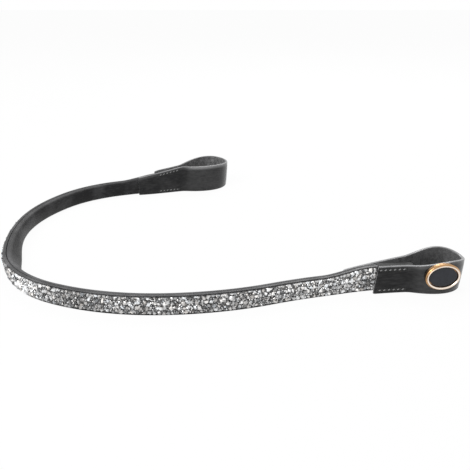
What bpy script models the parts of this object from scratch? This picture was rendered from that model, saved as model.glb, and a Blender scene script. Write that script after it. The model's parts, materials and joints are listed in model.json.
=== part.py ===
"""Crystal browband of a snaffle bridle: a padded leather band that crosses a horse's brow.

The band stands on its lower edge, bent into the open U of a band laid down after use. Its front
is a leather channel filled with crystal chips; behind that lie a reinforcing strap, a felt pad and
a soft lining. A folded strap is stitched to either end and makes the loop that the headpiece slides
through. One loop carries an oval badge.

Frame: metres, +Z up, floor at z = 0, origin under the middle of the bounding box.
"""

import math
import random

import bmesh
import bpy
from mathutils import Matrix, Vector

MM = 0.001

# Plan: the middle line is a chain of arcs (length, turn) from the near end to the far end.
START_HEADING_DEG = 189.5
ARC_LENGTH = 50.6 * MM
LAST_ARC_LENGTH = 15 * MM
ARCS = (
    (ARC_LENGTH, 14),
    (ARC_LENGTH, -22),
    (ARC_LENGTH, -30),
    (ARC_LENGTH, -47),
    (ARC_LENGTH, -17),
    (ARC_LENGTH, -28),
    (ARC_LENGTH, -47),
    (LAST_ARC_LENGTH, 8),
)
NEAR_FLEX_ARC = 2  # the near arm bends where this many arcs are done
FAR_FLEX_ARC = 5

# Padded band: widths are vertical, depths run from the inner face out to the crystals.
BAND_WIDTH = 9.2 * MM
RIM_WIDTH = 0.45 * MM
RIM_HEIGHT = 0.95 * MM
FRONT_WALL = 0.5 * MM
CARRIER_WALL = 0.35 * MM
CRYSTAL_EDGE = 0.5 * MM
CRYSTAL_CROWN = 0.5 * MM
CRYSTAL_POINT = 0.35 * MM
CRYSTAL_PITCH = 2.4 * MM
CRYSTAL_ROWS = 4
CRYSTAL_SEED = 7
PEAK_SHARES = (0.3, 0.7)  # where a chip's point stands, as a share of the chip each way
RISE_SHARES = (0.5, 1)  # how high it stands, as a share of the full point
CORE_SETBACK = 0.5 * MM  # from the middle plane to the back of the core strap
STRAP_WALL = 0.8 * MM
FELT_WALL = 0.9 * MM
LINING_WALL = 0.7 * MM
LINING_ROUND = 1.5 * MM
LAYER_GAP = 0.25 * MM
RING_STEP = 5 * MM

# Ends: the band flares and its padding runs out, and a strap laps it on both faces.
LAP_WIDTH = 13.1 * MM
LAP_WALL = 1.6 * MM
NECK_LENGTH = 14.5 * MM  # from the end of the crystals to where the loop opens
NEAR_OUTER_OVERLAP = 2.3 * MM  # how far the laps run back over the crystals
FAR_OUTER_OVERLAP = 5 * MM
INNER_LAP_OVERLAP = 15 * MM  # and over the lining
NEAR_OUTER_NECK = 13.1 * MM  # heights that the laps reach at the neck
NEAR_INNER_NECK = 14.8 * MM
FAR_OUTER_NECK = 15.8 * MM
FAR_INNER_NECK = 16.6 * MM
NEAR_INNER_START = 9.7 * MM  # heights where the inner laps start; the outer ones start at the lap's width
FAR_INNER_START = 11.6 * MM
FLARE_FULL = 2 * MM
FLARE_LENGTH = 24 * MM
FLARE_INSET = 0.55 * MM
THINNING_LENGTH = 18 * MM
NOSE_CLEARANCE = 0.12 * MM  # between the laps and the round nose that the loop turns on
NOSE_STEPS = 12
TAB_STEPS = 3

# Loops: the strap opens to a teardrop, with a bowed upper edge, that leans to one side.
NEAR_TIP_WIDTH = 13.5 * MM
NEAR_LOOP_ARCH = 2 * MM  # how far the upper edge bows up, most of it next to the tip
NEAR_LOOP_LENGTH = 27 * MM
NEAR_LOOP_BULGE = 10 * MM
NEAR_LOOP_LEAN_DEG = -8
FAR_TIP_WIDTH = 15.3 * MM
FAR_LOOP_ARCH = 0.8 * MM
FAR_LOOP_LENGTH = 33.2 * MM
FAR_LOOP_BULGE = 15.5 * MM
FAR_LOOP_LEAN_DEG = 15
LOOP_SEGMENTS = 36
BISECTIONS = 30

# Stitching: one thread row near each edge of each lapped side.
STITCH_COUNT = 6
STITCH_PITCH = 2.25 * MM
STITCH_INSET = 1.8 * MM
THREAD_RADIUS = 0.32 * MM
THREAD_RISE = 0.25 * MM
POINTS_PER_STITCH = 4

# Badge on the near loop's outer side.
BADGE_LENGTH = 16.4 * MM
BADGE_WIDTH = 12.4 * MM
BADGE_WALL = 0.8 * MM
BEZEL_WIDTH = 1.45 * MM
BEZEL_HEIGHT = 1.5 * MM
BEZEL_SHOULDER = 0.55  # share of that height at which the rim starts to round over
ENAMEL_WALL = 0.6 * MM
POST_RADIUS = 0.8 * MM
POST_SPACING = 8 * MM
POST_CLEARANCE = 0.3 * MM
POST_SEGMENTS = 16
BACK_PLATE_LENGTH = 13 * MM
BACK_PLATE_WIDTH = 5.5 * MM
BACK_PLATE_WALL = 0.6 * MM
BADGE_TURN = 0.505  # place along the loop: 0 at the neck, 1 at the tip
BADGE_RAISE = 1.75 * MM  # above the middle of the strap
BADGE_TILT_DEG = 5  # its outer end stands higher
OVAL_SEGMENTS = 36
SAG_STEPS = 40

# Flexing: how far each bending place can open and close, and the gap on its axis.
ARM_OPENS_DEG = 35
ARM_CLOSES_DEG = 20
LOOP_SWINGS_DEG = 20
FLEX_GAP = 0.3 * MM

SHARP_DEG = 50  # edges sharper than this are not shaded smooth

# Depths of the layers, worked out from the walls above; u grows outwards from the middle plane.
STRAP_BACK = -CORE_SETBACK
STRAP_FRONT = STRAP_BACK + STRAP_WALL
FRONT_BACK = STRAP_FRONT + LAYER_GAP
FRONT_FLOOR = FRONT_BACK + FRONT_WALL
RIM_TOP = FRONT_FLOOR + RIM_HEIGHT
CARRIER_BACK = FRONT_FLOOR + LAYER_GAP
CARRIER_FRONT = CARRIER_BACK + CARRIER_WALL
CRYSTAL_BACK = CARRIER_FRONT + LAYER_GAP
FELT_FRONT = STRAP_BACK - LAYER_GAP
FELT_BACK = FELT_FRONT - FELT_WALL
LINING_INSIDE = FELT_BACK - LAYER_GAP
LINING_BACK = LINING_INSIDE - LINING_WALL
LINING_FRONT = STRAP_FRONT
FLEX_DEPTH = (FRONT_BACK + LINING_FRONT) / 2
INNER_WIDTH = BAND_WIDTH - 2 * (LINING_WALL + LAYER_GAP)
FELT_WIDTH = INNER_WIDTH - 2 * LAYER_GAP
CREST = CRYSTAL_BACK + CRYSTAL_EDGE + CRYSTAL_CROWN + CRYSTAL_POINT
END_BACK = STRAP_BACK - LAYER_GAP - LINING_WALL
END_THINNING = END_BACK - LINING_BACK
OUTER_LAP_BACK = CREST + LAYER_GAP
OUTER_LAP_FRONT = OUTER_LAP_BACK + LAP_WALL
INNER_LAP_FRONT = END_BACK - LAYER_GAP
INNER_LAP_BACK = INNER_LAP_FRONT - LAP_WALL
LAP_DEPTH = (OUTER_LAP_FRONT + INNER_LAP_BACK) / 2
LAP_SPREAD = (OUTER_LAP_BACK - INNER_LAP_FRONT + LAP_WALL) / 2
FLARED_WIDTH = LAP_WIDTH - 2 * FLARE_INSET
THINNING_FULL = INNER_LAP_OVERLAP + LAP_WALL

FRONT_LENGTH = sum(length for length, turn in ARCS)
NEAR_FLEX = sum(length for length, turn in ARCS[:NEAR_FLEX_ARC])
FAR_FLEX = sum(length for length, turn in ARCS[:FAR_FLEX_ARC])
NEAR_NECK = -NECK_LENGTH
FAR_NECK = FRONT_LENGTH + NECK_LENGTH
UP = Vector((0, 0, 1))


def clear_scene():
    for obj in list(bpy.data.objects):
        bpy.data.objects.remove(obj)


def material(name, colour, roughness, metallic=0.0):
    """A plain finish that the pieces made of one stuff share."""
    made = bpy.data.materials.new(name)
    made.use_nodes = True
    shader = made.node_tree.nodes["Principled BSDF"]
    shader.inputs["Base Color"].default_value = (*colour, 1)
    shader.inputs["Roughness"].default_value = roughness
    shader.inputs["Metallic"].default_value = metallic
    made.diffuse_color = (*colour, 1)
    return made


def make_materials():
    return {
        "front_leather": material("front_leather", (0.016, 0.016, 0.017), 0.4),
        "lining_leather": material("lining_leather", (0.022, 0.022, 0.023), 0.5),
        "loop_leather": material("loop_leather", (0.014, 0.014, 0.015), 0.42),
        "strap_webbing": material("strap_webbing", (0.05, 0.05, 0.05), 0.8),
        "felt": material("felt", (0.16, 0.16, 0.17), 0.95),
        "carrier_tape": material("carrier_tape", (0.08, 0.08, 0.085), 0.6),
        "crystal": material("crystal", (0.62, 0.62, 0.64), 0.08),
        "thread": material("thread", (0.03, 0.03, 0.03), 0.6),
        "badge_brass": material("badge_brass", (0.78, 0.5, 0.27), 0.2, 1.0),
        "badge_enamel": material("badge_enamel", (0.025, 0.027, 0.035), 0.15),
        "badge_steel": material("badge_steel", (0.55, 0.55, 0.55), 0.35, 1.0),
    }


# Plan and stations along the band


def plan_at(s):
    """Point on the middle line at distance s from the near end, and the unit direction of travel.

    Before the near end the first arc carries on, and past the far end the line runs straight.
    """
    x = y = 0.0
    heading = math.radians(START_HEADING_DEG)
    left = s
    for length, turn in (*ARCS, (math.inf, 0)):
        run = min(left, length)
        bend = math.radians(turn) * run / length
        chord = run * (math.sin(bend / 2) / (bend / 2) if bend else 1)
        x += chord * math.cos(heading + bend / 2)
        y += chord * math.sin(heading + bend / 2)
        heading += bend
        left -= run
    return Vector((x, y, 0)), Vector((math.cos(heading), math.sin(heading), 0))


def outward(along):
    """Level direction from the middle line towards the crystals."""
    return UP.cross(along)


def ramp_at(s, full, length):
    """1 within the full distance of either end, falling smoothly to 0 over the length after that."""
    inside = min(s, FRONT_LENGTH - s) - full
    share = 1 - min(max(inside / length, 0), 1)
    return share * share * (3 - 2 * share)


def flare_at(s):
    return ramp_at(s, FLARE_FULL, FLARE_LENGTH)


def width_at(s):
    return BAND_WIDTH + (FLARED_WIDTH - BAND_WIDTH) * flare_at(s)


def crystal_width(s):
    """Width of the crystals, which fill the channel but for a gap along each rim."""
    return width_at(s) - 2 * (RIM_WIDTH + LAYER_GAP)


def height_at(s):
    """Height of the middle line, so that the lower edge lies on the floor."""
    return BAND_WIDTH / 2 + (LAP_WIDTH / 2 - BAND_WIDTH / 2) * flare_at(s)


def thinning_at(s):
    """How far the inner face comes in where the padding runs out."""
    return END_THINNING * ramp_at(s, THINNING_FULL, THINNING_LENGTH)


def flex_cut(u, axis, opens_deg, closes_deg):
    """Setback of an end face from its bending axis, so that the two faces meet at full flex."""
    lean = opens_deg if u > axis else closes_deg
    return FLEX_GAP / 2 + abs(u - axis) * math.tan(math.radians(lean / 2))


def arm_cut(u):
    return flex_cut(u, FLEX_DEPTH, ARM_OPENS_DEG, ARM_CLOSES_DEG)


def neck_cut(u):
    return flex_cut(u, LAP_DEPTH, LOOP_SWINGS_DEG, LOOP_SWINGS_DEG)


def square_cut(u):
    return LAYER_GAP / 2


class Stretch:
    """One length of the band, from start to end, with the cut at each end."""

    def __init__(self, body, start, end, start_cut, end_cut):
        self.body = body
        self.start = start
        self.end = end
        self.start_cut = start_cut
        self.end_cut = end_cut

    def stations(self, step):
        count = max(2, round((self.end - self.start) / step))
        return [self.start + (self.end - self.start) * i / count for i in range(count + 1)]

    def place(self, s, u, v):
        """Point at depth u and height v from the middle line, set back where an end is cut."""
        point, along = plan_at(s)
        back = 0.0
        if s == self.start:
            back = self.start_cut(u)
        elif s == self.end:
            back = -self.end_cut(u)
        return point + along * back + outward(along) * u + UP * (height_at(s) + v)


STRETCHES = (
    Stretch("near_arm", 0.0, NEAR_FLEX, square_cut, arm_cut),
    Stretch("brow", NEAR_FLEX, FAR_FLEX, arm_cut, arm_cut),
    Stretch("far_arm", FAR_FLEX, FRONT_LENGTH, arm_cut, square_cut),
)


# Bodies and objects


def pivot_of(s, depth):
    """Point on the floor under the bending axis at distance s."""
    point, along = plan_at(s)
    return point + outward(along) * depth


def make_bodies():
    """An empty on each bending axis, all under the root that carries the brow."""
    places = {
        "brow": pivot_of(FRONT_LENGTH / 2, FLEX_DEPTH),
        "near_arm": pivot_of(NEAR_FLEX, FLEX_DEPTH),
        "far_arm": pivot_of(FAR_FLEX, FLEX_DEPTH),
        "near_loop": pivot_of(NEAR_NECK, LAP_DEPTH),
        "far_loop": pivot_of(FAR_NECK, LAP_DEPTH),
    }
    parents = {
        "near_arm": "brow",
        "far_arm": "brow",
        "near_loop": "near_arm",
        "far_loop": "far_arm",
    }
    bodies = {}
    for name, place in places.items():
        empty = bpy.data.objects.new(name + "_pivot", None)
        bpy.context.scene.collection.objects.link(empty)
        if name in parents:
            empty.parent = bodies[parents[name]]
            place = place - places[parents[name]]
        empty.location = place
        bodies[name] = empty
    return bodies, places


def add_mesh(name, bm, body, finish, smooth_deg=None):
    """Finishes a mesh, moves it to its body's axis and puts it under that body's empty."""
    bmesh.ops.recalc_face_normals(bm, faces=bm.faces)
    bmesh.ops.translate(bm, verts=bm.verts, vec=-PLACES[body])
    mesh = bpy.data.meshes.new(name)
    bm.to_mesh(mesh)
    bm.free()
    if smooth_deg:
        mesh.shade_smooth()
        mesh.set_sharp_from_angle(angle=math.radians(smooth_deg))
    mesh.materials.append(MATERIALS[finish])
    obj = bpy.data.objects.new(name, mesh)
    bpy.context.scene.collection.objects.link(obj)
    obj.parent = BODIES[body]
    return obj


def loft(rings):
    """A closed skin through rings of points, capped at both ends."""
    bm = bmesh.new()
    made = [[bm.verts.new(point) for point in ring] for ring in rings]
    for ring, following in zip(made, made[1:]):
        for i in range(len(ring)):
            j = (i + 1) % len(ring)
            bm.faces.new((ring[i], ring[j], following[j], following[i]))
    bm.faces.new(made[0])
    bm.faces.new(made[-1])
    return bm


def sweep(stretch, section):
    """Carries a section, the outline that section(s) gives in (u, v), along a stretch."""
    return loft([[stretch.place(s, u, v) for u, v in section(s)] for s in stretch.stations(RING_STEP)])


# Layers of the padded band, from the lining out to the crystals


def box_section(back, front, width):
    return [(back, -width / 2), (front, -width / 2), (front, width / 2), (back, width / 2)]


def standing_section(s, back, front, width):
    """A box whose lower edge lies on the floor."""
    low = -height_at(s)
    return [(back, low), (front, low), (front, low + width), (back, low + width)]


def lining_section(s):
    """A rounded U of soft leather, open towards the front."""
    half = width_at(s) / 2
    back = LINING_BACK + thinning_at(s)
    outer = [(LINING_FRONT, -half)]
    inner = [(LINING_FRONT, -half + LINING_WALL)]
    round_in = LINING_ROUND - LINING_WALL
    for side in (-1, 1):
        for step in range(3):
            turn = math.radians(45 * step if side < 0 else 90 - 45 * step)
            reach, rise = math.sin(turn), math.cos(turn)
            centre_u, centre_v = back + LINING_ROUND, side * (half - LINING_ROUND)
            outer.append((centre_u - LINING_ROUND * reach, centre_v + side * LINING_ROUND * rise))
            inner.append((centre_u - round_in * reach, centre_v + side * round_in * rise))
    outer.append((LINING_FRONT, half))
    inner.append((LINING_FRONT, half - LINING_WALL))
    return outer + inner[::-1]


def felt_section(s):
    """A flat pad with its inner edges taken off to follow the lining."""
    half = FELT_WIDTH / 2
    chamfer = LINING_ROUND - LINING_WALL
    return [
        (FELT_FRONT, -half),
        (FELT_FRONT, half),
        (FELT_BACK + chamfer, half),
        (FELT_BACK, half - chamfer),
        (FELT_BACK, chamfer - half),
        (FELT_BACK + chamfer, -half),
    ]


def front_section(s):
    """The channel: a floor with a rim along its upper and its lower edge."""
    half = width_at(s) / 2
    channel = half - RIM_WIDTH
    return [
        (FRONT_BACK, -half),
        (RIM_TOP, -half),
        (RIM_TOP, -channel),
        (FRONT_FLOOR, -channel),
        (FRONT_FLOOR, channel),
        (RIM_TOP, channel),
        (RIM_TOP, half),
        (FRONT_BACK, half),
    ]


def strap_section(s):
    return box_section(STRAP_BACK, STRAP_FRONT, INNER_WIDTH)


def carrier_section(s):
    return box_section(CARRIER_BACK, CARRIER_FRONT, crystal_width(s))


def crystal_crown(row):
    """Depth of the glue line between the chips, a shallow arch, at a share of the width from the middle."""
    return CRYSTAL_BACK + CRYSTAL_EDGE + CRYSTAL_CROWN * (1 - (2 * row) ** 2)


def crystal_bed(stretch, chance):
    """A strip whose front is a field of uneven four-sided points, one for each chip."""
    bm = bmesh.new()
    stations = stretch.stations(CRYSTAL_PITCH)
    rows = [i / CRYSTAL_ROWS - 0.5 for i in range(CRYSTAL_ROWS + 1)]

    def corner(s, row, depth):
        return bm.verts.new(stretch.place(s, depth, row * crystal_width(s)))

    front = [[corner(s, row, crystal_crown(row)) for row in rows] for s in stations]
    back = [[corner(s, row, CRYSTAL_BACK) for row in (rows[0], rows[-1])] for s in stations]
    for i in range(len(stations) - 1):
        for j in range(CRYSTAL_ROWS):
            corners = (front[i][j], front[i][j + 1], front[i + 1][j + 1], front[i + 1][j])
            share_s, share_v = chance.uniform(*PEAK_SHARES), chance.uniform(*PEAK_SHARES)
            s = stations[i] + (stations[i + 1] - stations[i]) * share_s
            row = rows[j] + (rows[j + 1] - rows[j]) * share_v
            rise = CRYSTAL_POINT * chance.uniform(*RISE_SHARES)
            peak = corner(s, row, crystal_crown(row) + rise)
            for a, b in zip(corners, corners[1:] + corners[:1]):
                bm.faces.new((a, b, peak))
        bm.faces.new((back[i][0], back[i + 1][0], back[i + 1][1], back[i][1]))
        bm.faces.new((back[i][0], front[i][0], front[i + 1][0], back[i + 1][0]))
        bm.faces.new((back[i][1], back[i + 1][1], front[i + 1][-1], front[i][-1]))
    for i in (0, -1):
        bm.faces.new([back[i][0], *front[i], back[i][1]])
    return bm


def felt_stretch(stretch):
    """The felt stops where the padding runs out."""
    clear = THINNING_FULL + THINNING_LENGTH
    start, end = max(stretch.start, clear), min(stretch.end, FRONT_LENGTH - clear)
    start_cut = stretch.start_cut if start == stretch.start else square_cut
    end_cut = stretch.end_cut if end == stretch.end else square_cut
    return Stretch(stretch.body, start, end, start_cut, end_cut)


def make_band():
    chance = random.Random(CRYSTAL_SEED)
    for stretch in STRETCHES:
        body = stretch.body
        add_mesh("lining_" + body, sweep(stretch, lining_section), body, "lining_leather", SHARP_DEG)
        add_mesh("felt_pad_" + body, sweep(felt_stretch(stretch), felt_section), body, "felt", SHARP_DEG)
        add_mesh("core_strap_" + body, sweep(stretch, strap_section), body, "strap_webbing", SHARP_DEG)
        add_mesh("front_channel_" + body, sweep(stretch, front_section), body, "front_leather", SHARP_DEG)
        add_mesh("crystal_carrier_" + body, sweep(stretch, carrier_section), body, "carrier_tape", SHARP_DEG)
        add_mesh("crystal_bed_" + body, crystal_bed(stretch, chance), body, "crystal")


# Ends of the band: the laps, the tab between them, the stitching and the loop


class End:
    """One end of the band; x runs outwards from the end of its crystals."""

    def __init__(self, word, front, sign, outer_lap, inner_lap, loop):
        self.word = word
        self.arm = word + "_arm"
        self.loop = word + "_loop"
        self.front = front
        self.sign = sign
        self.laps = {1: outer_lap, -1: inner_lap}
        self.loop_length, self.loop_bulge, loop_lean_deg, self.tip_width, self.loop_arch = loop
        self.loop_lean = math.tan(math.radians(loop_lean_deg))
        self.neck, travel = plan_at(self.distance(NECK_LENGTH))
        self.along = travel * sign
        self.out = outward(travel)

    def distance(self, x):
        """Distance along the band of a point x beyond the end of the crystals."""
        return self.front + self.sign * x

    def stretch(self, inner_x, outer_x, outer_cut):
        """The length between two values of x, cut square on its inner end."""
        if self.sign < 0:
            return Stretch(self.arm, self.distance(outer_x), self.distance(inner_x), outer_cut, square_cut)
        return Stretch(self.arm, self.distance(inner_x), self.distance(outer_x), square_cut, outer_cut)

    def place(self, x, y, z):
        """Point x past the neck, y towards the band's front and z above the floor."""
        return self.neck + self.along * x + self.out * y + UP * z

    def loop_line(self, turn):
        """Middle of the strap's wall in (x, y), from turn -1 (inner lap) by 0 (tip) to 1 (outer lap).

        A teardrop: its half width is the bulge times sin(a) sin(a / 2), added to the spread of the
        laps, which closes towards the tip.
        """
        angle = math.pi * (1 - abs(turn))
        x = self.loop_length * (1 - math.cos(angle)) / 2
        half = LAP_SPREAD * (1 + math.cos(angle)) / 2
        half += self.loop_bulge * math.sin(angle) * math.sin(angle / 2)
        return Vector((x, LAP_DEPTH + math.copysign(half, turn) + self.loop_lean * x))

    def loop_normal(self, turn):
        """Unit normal of that line, pointing out of the loop."""
        step = 1e-4
        run = self.loop_line(max(turn - step, -1)) - self.loop_line(min(turn + step, 1))
        return Vector((-run.y, run.x)).normalized()

    def loop_face(self, turn, side):
        """Point on the strap's outer (side 1) or inner (side -1) face."""
        return self.loop_line(turn) + self.loop_normal(turn) * side * LAP_WALL / 2

    def first_turn(self, side):
        """Turn, next to the lap on that side, at which the loop's inner face leaves the cut at the neck."""
        clear, cut = 0.5, 1.0
        for _ in range(BISECTIONS):
            middle = (clear + cut) / 2
            face = self.loop_face(side * middle, -1)
            if face.x < neck_cut(face.y):
                cut = middle
            else:
                clear = middle
        return side * clear

    def lap_width(self, s, side):
        """Height of the outer (side 1) or inner lap, which rises evenly towards the neck."""
        overlap, start, neck = self.laps[side]
        x = self.sign * (s - self.front)
        return start + (neck - start) * (x + overlap) / (NECK_LENGTH + overlap)

    def loop_width(self, x, turn):
        """Height of the strap x past the neck: from its lap's to the tip's, plus a bow.

        The bow is the arch times 27 / 4 share^2 (1 - share), which peaks two thirds of the way along.
        """
        start = self.lap_width(self.distance(NECK_LENGTH), 1 if turn > 0 else -1)
        share = max(x, 0) / self.loop_length
        bow = 27 / 4 * share * share * (1 - share)
        return start + (self.tip_width - start) * share + self.loop_arch * bow


NEAR_OUTER_LAP = (NEAR_OUTER_OVERLAP, LAP_WIDTH, NEAR_OUTER_NECK)
NEAR_INNER_LAP = (INNER_LAP_OVERLAP, NEAR_INNER_START, NEAR_INNER_NECK)
NEAR_LOOP = (NEAR_LOOP_LENGTH, NEAR_LOOP_BULGE, NEAR_LOOP_LEAN_DEG, NEAR_TIP_WIDTH, NEAR_LOOP_ARCH)
FAR_OUTER_LAP = (FAR_OUTER_OVERLAP, LAP_WIDTH, FAR_OUTER_NECK)
FAR_INNER_LAP = (INNER_LAP_OVERLAP, FAR_INNER_START, FAR_INNER_NECK)
FAR_LOOP = (FAR_LOOP_LENGTH, FAR_LOOP_BULGE, FAR_LOOP_LEAN_DEG, FAR_TIP_WIDTH, FAR_LOOP_ARCH)
ENDS = (
    End("near", 0.0, -1, NEAR_OUTER_LAP, NEAR_INNER_LAP, NEAR_LOOP),
    End("far", FRONT_LENGTH, 1, FAR_OUTER_LAP, FAR_INNER_LAP, FAR_LOOP),
)


def make_end_tab(end):
    """The end of the band between the laps, with a round nose about the neck's bending axis."""
    half = (CREST - END_BACK) / 2
    radius = LAP_SPREAD - LAP_WALL / 2 - NOSE_CLEARANCE
    shoulder = math.asin(half / radius)
    run = NECK_LENGTH - radius * math.cos(shoulder) - square_cut(0)
    outer, inner = [], []
    for i in range(TAB_STEPS):
        point, travel = plan_at(end.distance(square_cut(0) + run * i / TAB_STEPS))
        outer.append(point + outward(travel) * CREST)
        inner.append(point + outward(travel) * END_BACK)
    nose = []
    for i in range(NOSE_STEPS + 1):
        angle = (math.pi - shoulder) * (1 - 2 * i / NOSE_STEPS)
        nose.append(end.place(radius * math.cos(angle), LAP_DEPTH + radius * math.sin(angle), 0))
    plan = outer + nose + inner[::-1]
    low = (LAP_WIDTH - FLARED_WIDTH) / 2
    return loft([[point + UP * level for point in plan] for level in (low, low + FLARED_WIDTH)])


def make_lap(name, end, side, back, front):
    """One of the strap's two stitched-down lengths, cut at the neck for the bend."""
    overlap = end.laps[side][0]

    def section(s):
        return standing_section(s, back, front, end.lap_width(s, side))

    lap = sweep(end.stretch(-overlap, NECK_LENGTH, neck_cut), section)
    add_mesh(name, lap, end.arm, "loop_leather", SHARP_DEG)


def make_laps(end):
    """The strap's two laps, and the tab of the band that they grip."""
    make_lap(end.word + "_outer_lap", end, 1, OUTER_LAP_BACK, OUTER_LAP_FRONT)
    make_lap(end.word + "_inner_lap", end, -1, INNER_LAP_BACK, INNER_LAP_FRONT)
    add_mesh(end.word + "_end_tab", make_end_tab(end), end.arm, "strap_webbing", SHARP_DEG)


def make_stitch_row(name, end, side, upper):
    """A row of stitches: one thread that arches over the leather from hole to hole."""
    length = STITCH_COUNT * STITCH_PITCH
    start = (NECK_LENGTH - end.laps[1][0] - length) / 2
    count = STITCH_COUNT * POINTS_PER_STITCH
    face = OUTER_LAP_FRONT if side > 0 else INNER_LAP_BACK
    lift = LAYER_GAP / 2 + THREAD_RADIUS
    curve = bpy.data.curves.new(name, "CURVE")
    curve.dimensions = "3D"
    curve.bevel_depth = THREAD_RADIUS
    curve.bevel_resolution = 1
    curve.use_fill_caps = True
    spline = curve.splines.new("POLY")
    spline.points.add(count)
    for i, point in enumerate(spline.points):
        rise = lift + THREAD_RISE * abs(math.sin(math.pi * i / POINTS_PER_STITCH))
        s = end.distance(start + length * i / count)
        level = end.lap_width(s, side) - STITCH_INSET if upper else STITCH_INSET
        middle, travel = plan_at(s)
        place = middle + outward(travel) * (face + side * rise) + UP * level
        point.co = (*(place - PLACES[end.arm]), 1)
    curve.materials.append(MATERIALS["thread"])
    obj = bpy.data.objects.new(name, curve)
    bpy.context.scene.collection.objects.link(obj)
    obj.parent = BODIES[end.arm]


def make_stitching(end):
    for face, side in (("outer", 1), ("inner", -1)):
        for edge, upper in (("lower", False), ("upper", True)):
            make_stitch_row(f"{end.word}_stitches_{face}_{edge}", end, side, upper)


def make_loop_strap(end):
    """The loop: the strap between its two laps, with its ends cut for the bend at the neck."""
    first, last = end.first_turn(1), end.first_turn(-1)
    turns = [1 - 2 * i / LOOP_SEGMENTS for i in range(LOOP_SEGMENTS + 1)]
    margin = 1 / LOOP_SEGMENTS
    turns = [first, *(turn for turn in turns if last + margin < turn < first - margin), last]
    rings = []
    for turn in turns:
        ring = []
        for side in (1, -1):
            face = end.loop_face(turn, side)
            face.x = max(face.x, neck_cut(face.y))
            ring.append(end.place(face.x, face.y, 0))
            ring.insert(0, end.place(face.x, face.y, end.loop_width(face.x, turn)))
        rings.append(ring)
    return add_mesh(end.word + "_loop_strap", loft(rings), end.loop, "loop_leather", SHARP_DEG)


def make_ends():
    straps = {}
    for end in ENDS:
        make_laps(end)
        make_stitching(end)
        straps[end.word] = make_loop_strap(end)
    return straps


# Badge: a cup with two posts, a rim, an enamel face, and a plate behind the leather


def oval(length, width):
    """Points of an ellipse in the badge's own plane."""
    angles = [2 * math.pi * i / OVAL_SEGMENTS for i in range(OVAL_SEGMENTS)]
    return [(length / 2 * math.cos(a), width / 2 * math.sin(a)) for a in angles]


class BadgeFrame:
    """Axes on the near loop's outer face: right along the strap, up, and out of the leather."""

    def __init__(self, end):
        self.end = end
        self.face = end.loop_face(1 - BADGE_TURN, 1)
        self.normal = end.loop_normal(1 - BADGE_TURN)
        self.right = Vector((self.normal.y, -self.normal.x))
        self.level = end.loop_width(self.face.x, 1) / 2 + BADGE_RAISE
        self.tilt = math.radians(BADGE_TILT_DEG)

    def place(self, x, z, depth):
        along = x * math.cos(self.tilt) - z * math.sin(self.tilt)
        rise = x * math.sin(self.tilt) + z * math.cos(self.tilt)
        flat = self.face + self.right * along + self.normal * depth
        return self.end.place(flat.x, flat.y, self.level + rise)

    def matrix(self):
        """From the badge's own axes, depth along z, to the band's frame."""
        origin = self.place(0, 0, 0)
        axes = [self.place(*step) - origin for step in ((1, 0, 0), (0, 1, 0), (0, 0, 1))]
        turn = Matrix([[axis[row] for axis in axes] for row in range(3)])
        return Matrix.Translation(origin) @ turn.to_4x4()


BADGE = BadgeFrame(ENDS[0])


def strap_depth(reach, side):
    """Depth of the strap's face below the badge's plane, at that reach along it from its middle."""
    faces = [BADGE.end.loop_face(i / SAG_STEPS, side) for i in range(SAG_STEPS + 1)]
    nearest = min(faces, key=lambda face: abs((face - BADGE.face).dot(BADGE.right) - reach))
    return (BADGE.face - nearest).dot(BADGE.normal)


def deepest_face():
    """Depth of the strap's inner face where it comes furthest in behind the back plate."""
    reaches = [BACK_PLATE_LENGTH * (i / SAG_STEPS - 0.5) for i in range(SAG_STEPS + 1)]
    return max(strap_depth(reach, -1) for reach in reaches)


def oval_plate(length, width, back, front):
    return loft([[BADGE.place(x, z, depth) for x, z in oval(length, width)] for depth in (back, front)])


def post_cylinder(bm, x, radius, back, front):
    bmesh.ops.create_cone(
        bm,
        cap_ends=True,
        segments=POST_SEGMENTS,
        radius1=radius,
        radius2=radius,
        depth=front - back,
        matrix=BADGE.matrix() @ Matrix.Translation((x, 0, (back + front) / 2)),
    )


def boolean(obj, other, operation):
    modifier = obj.modifiers.new(operation.lower(), "BOOLEAN")
    modifier.operation = operation
    modifier.object = other
    other.hide_render = True
    other.display_type = "WIRE"


def make_posts(name, radius, back, front):
    bm = bmesh.new()
    for x in (-POST_SPACING / 2, POST_SPACING / 2):
        post_cylinder(bm, x, radius, back, front)
    return add_mesh(name, bm, "near_loop", "badge_brass")


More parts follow.
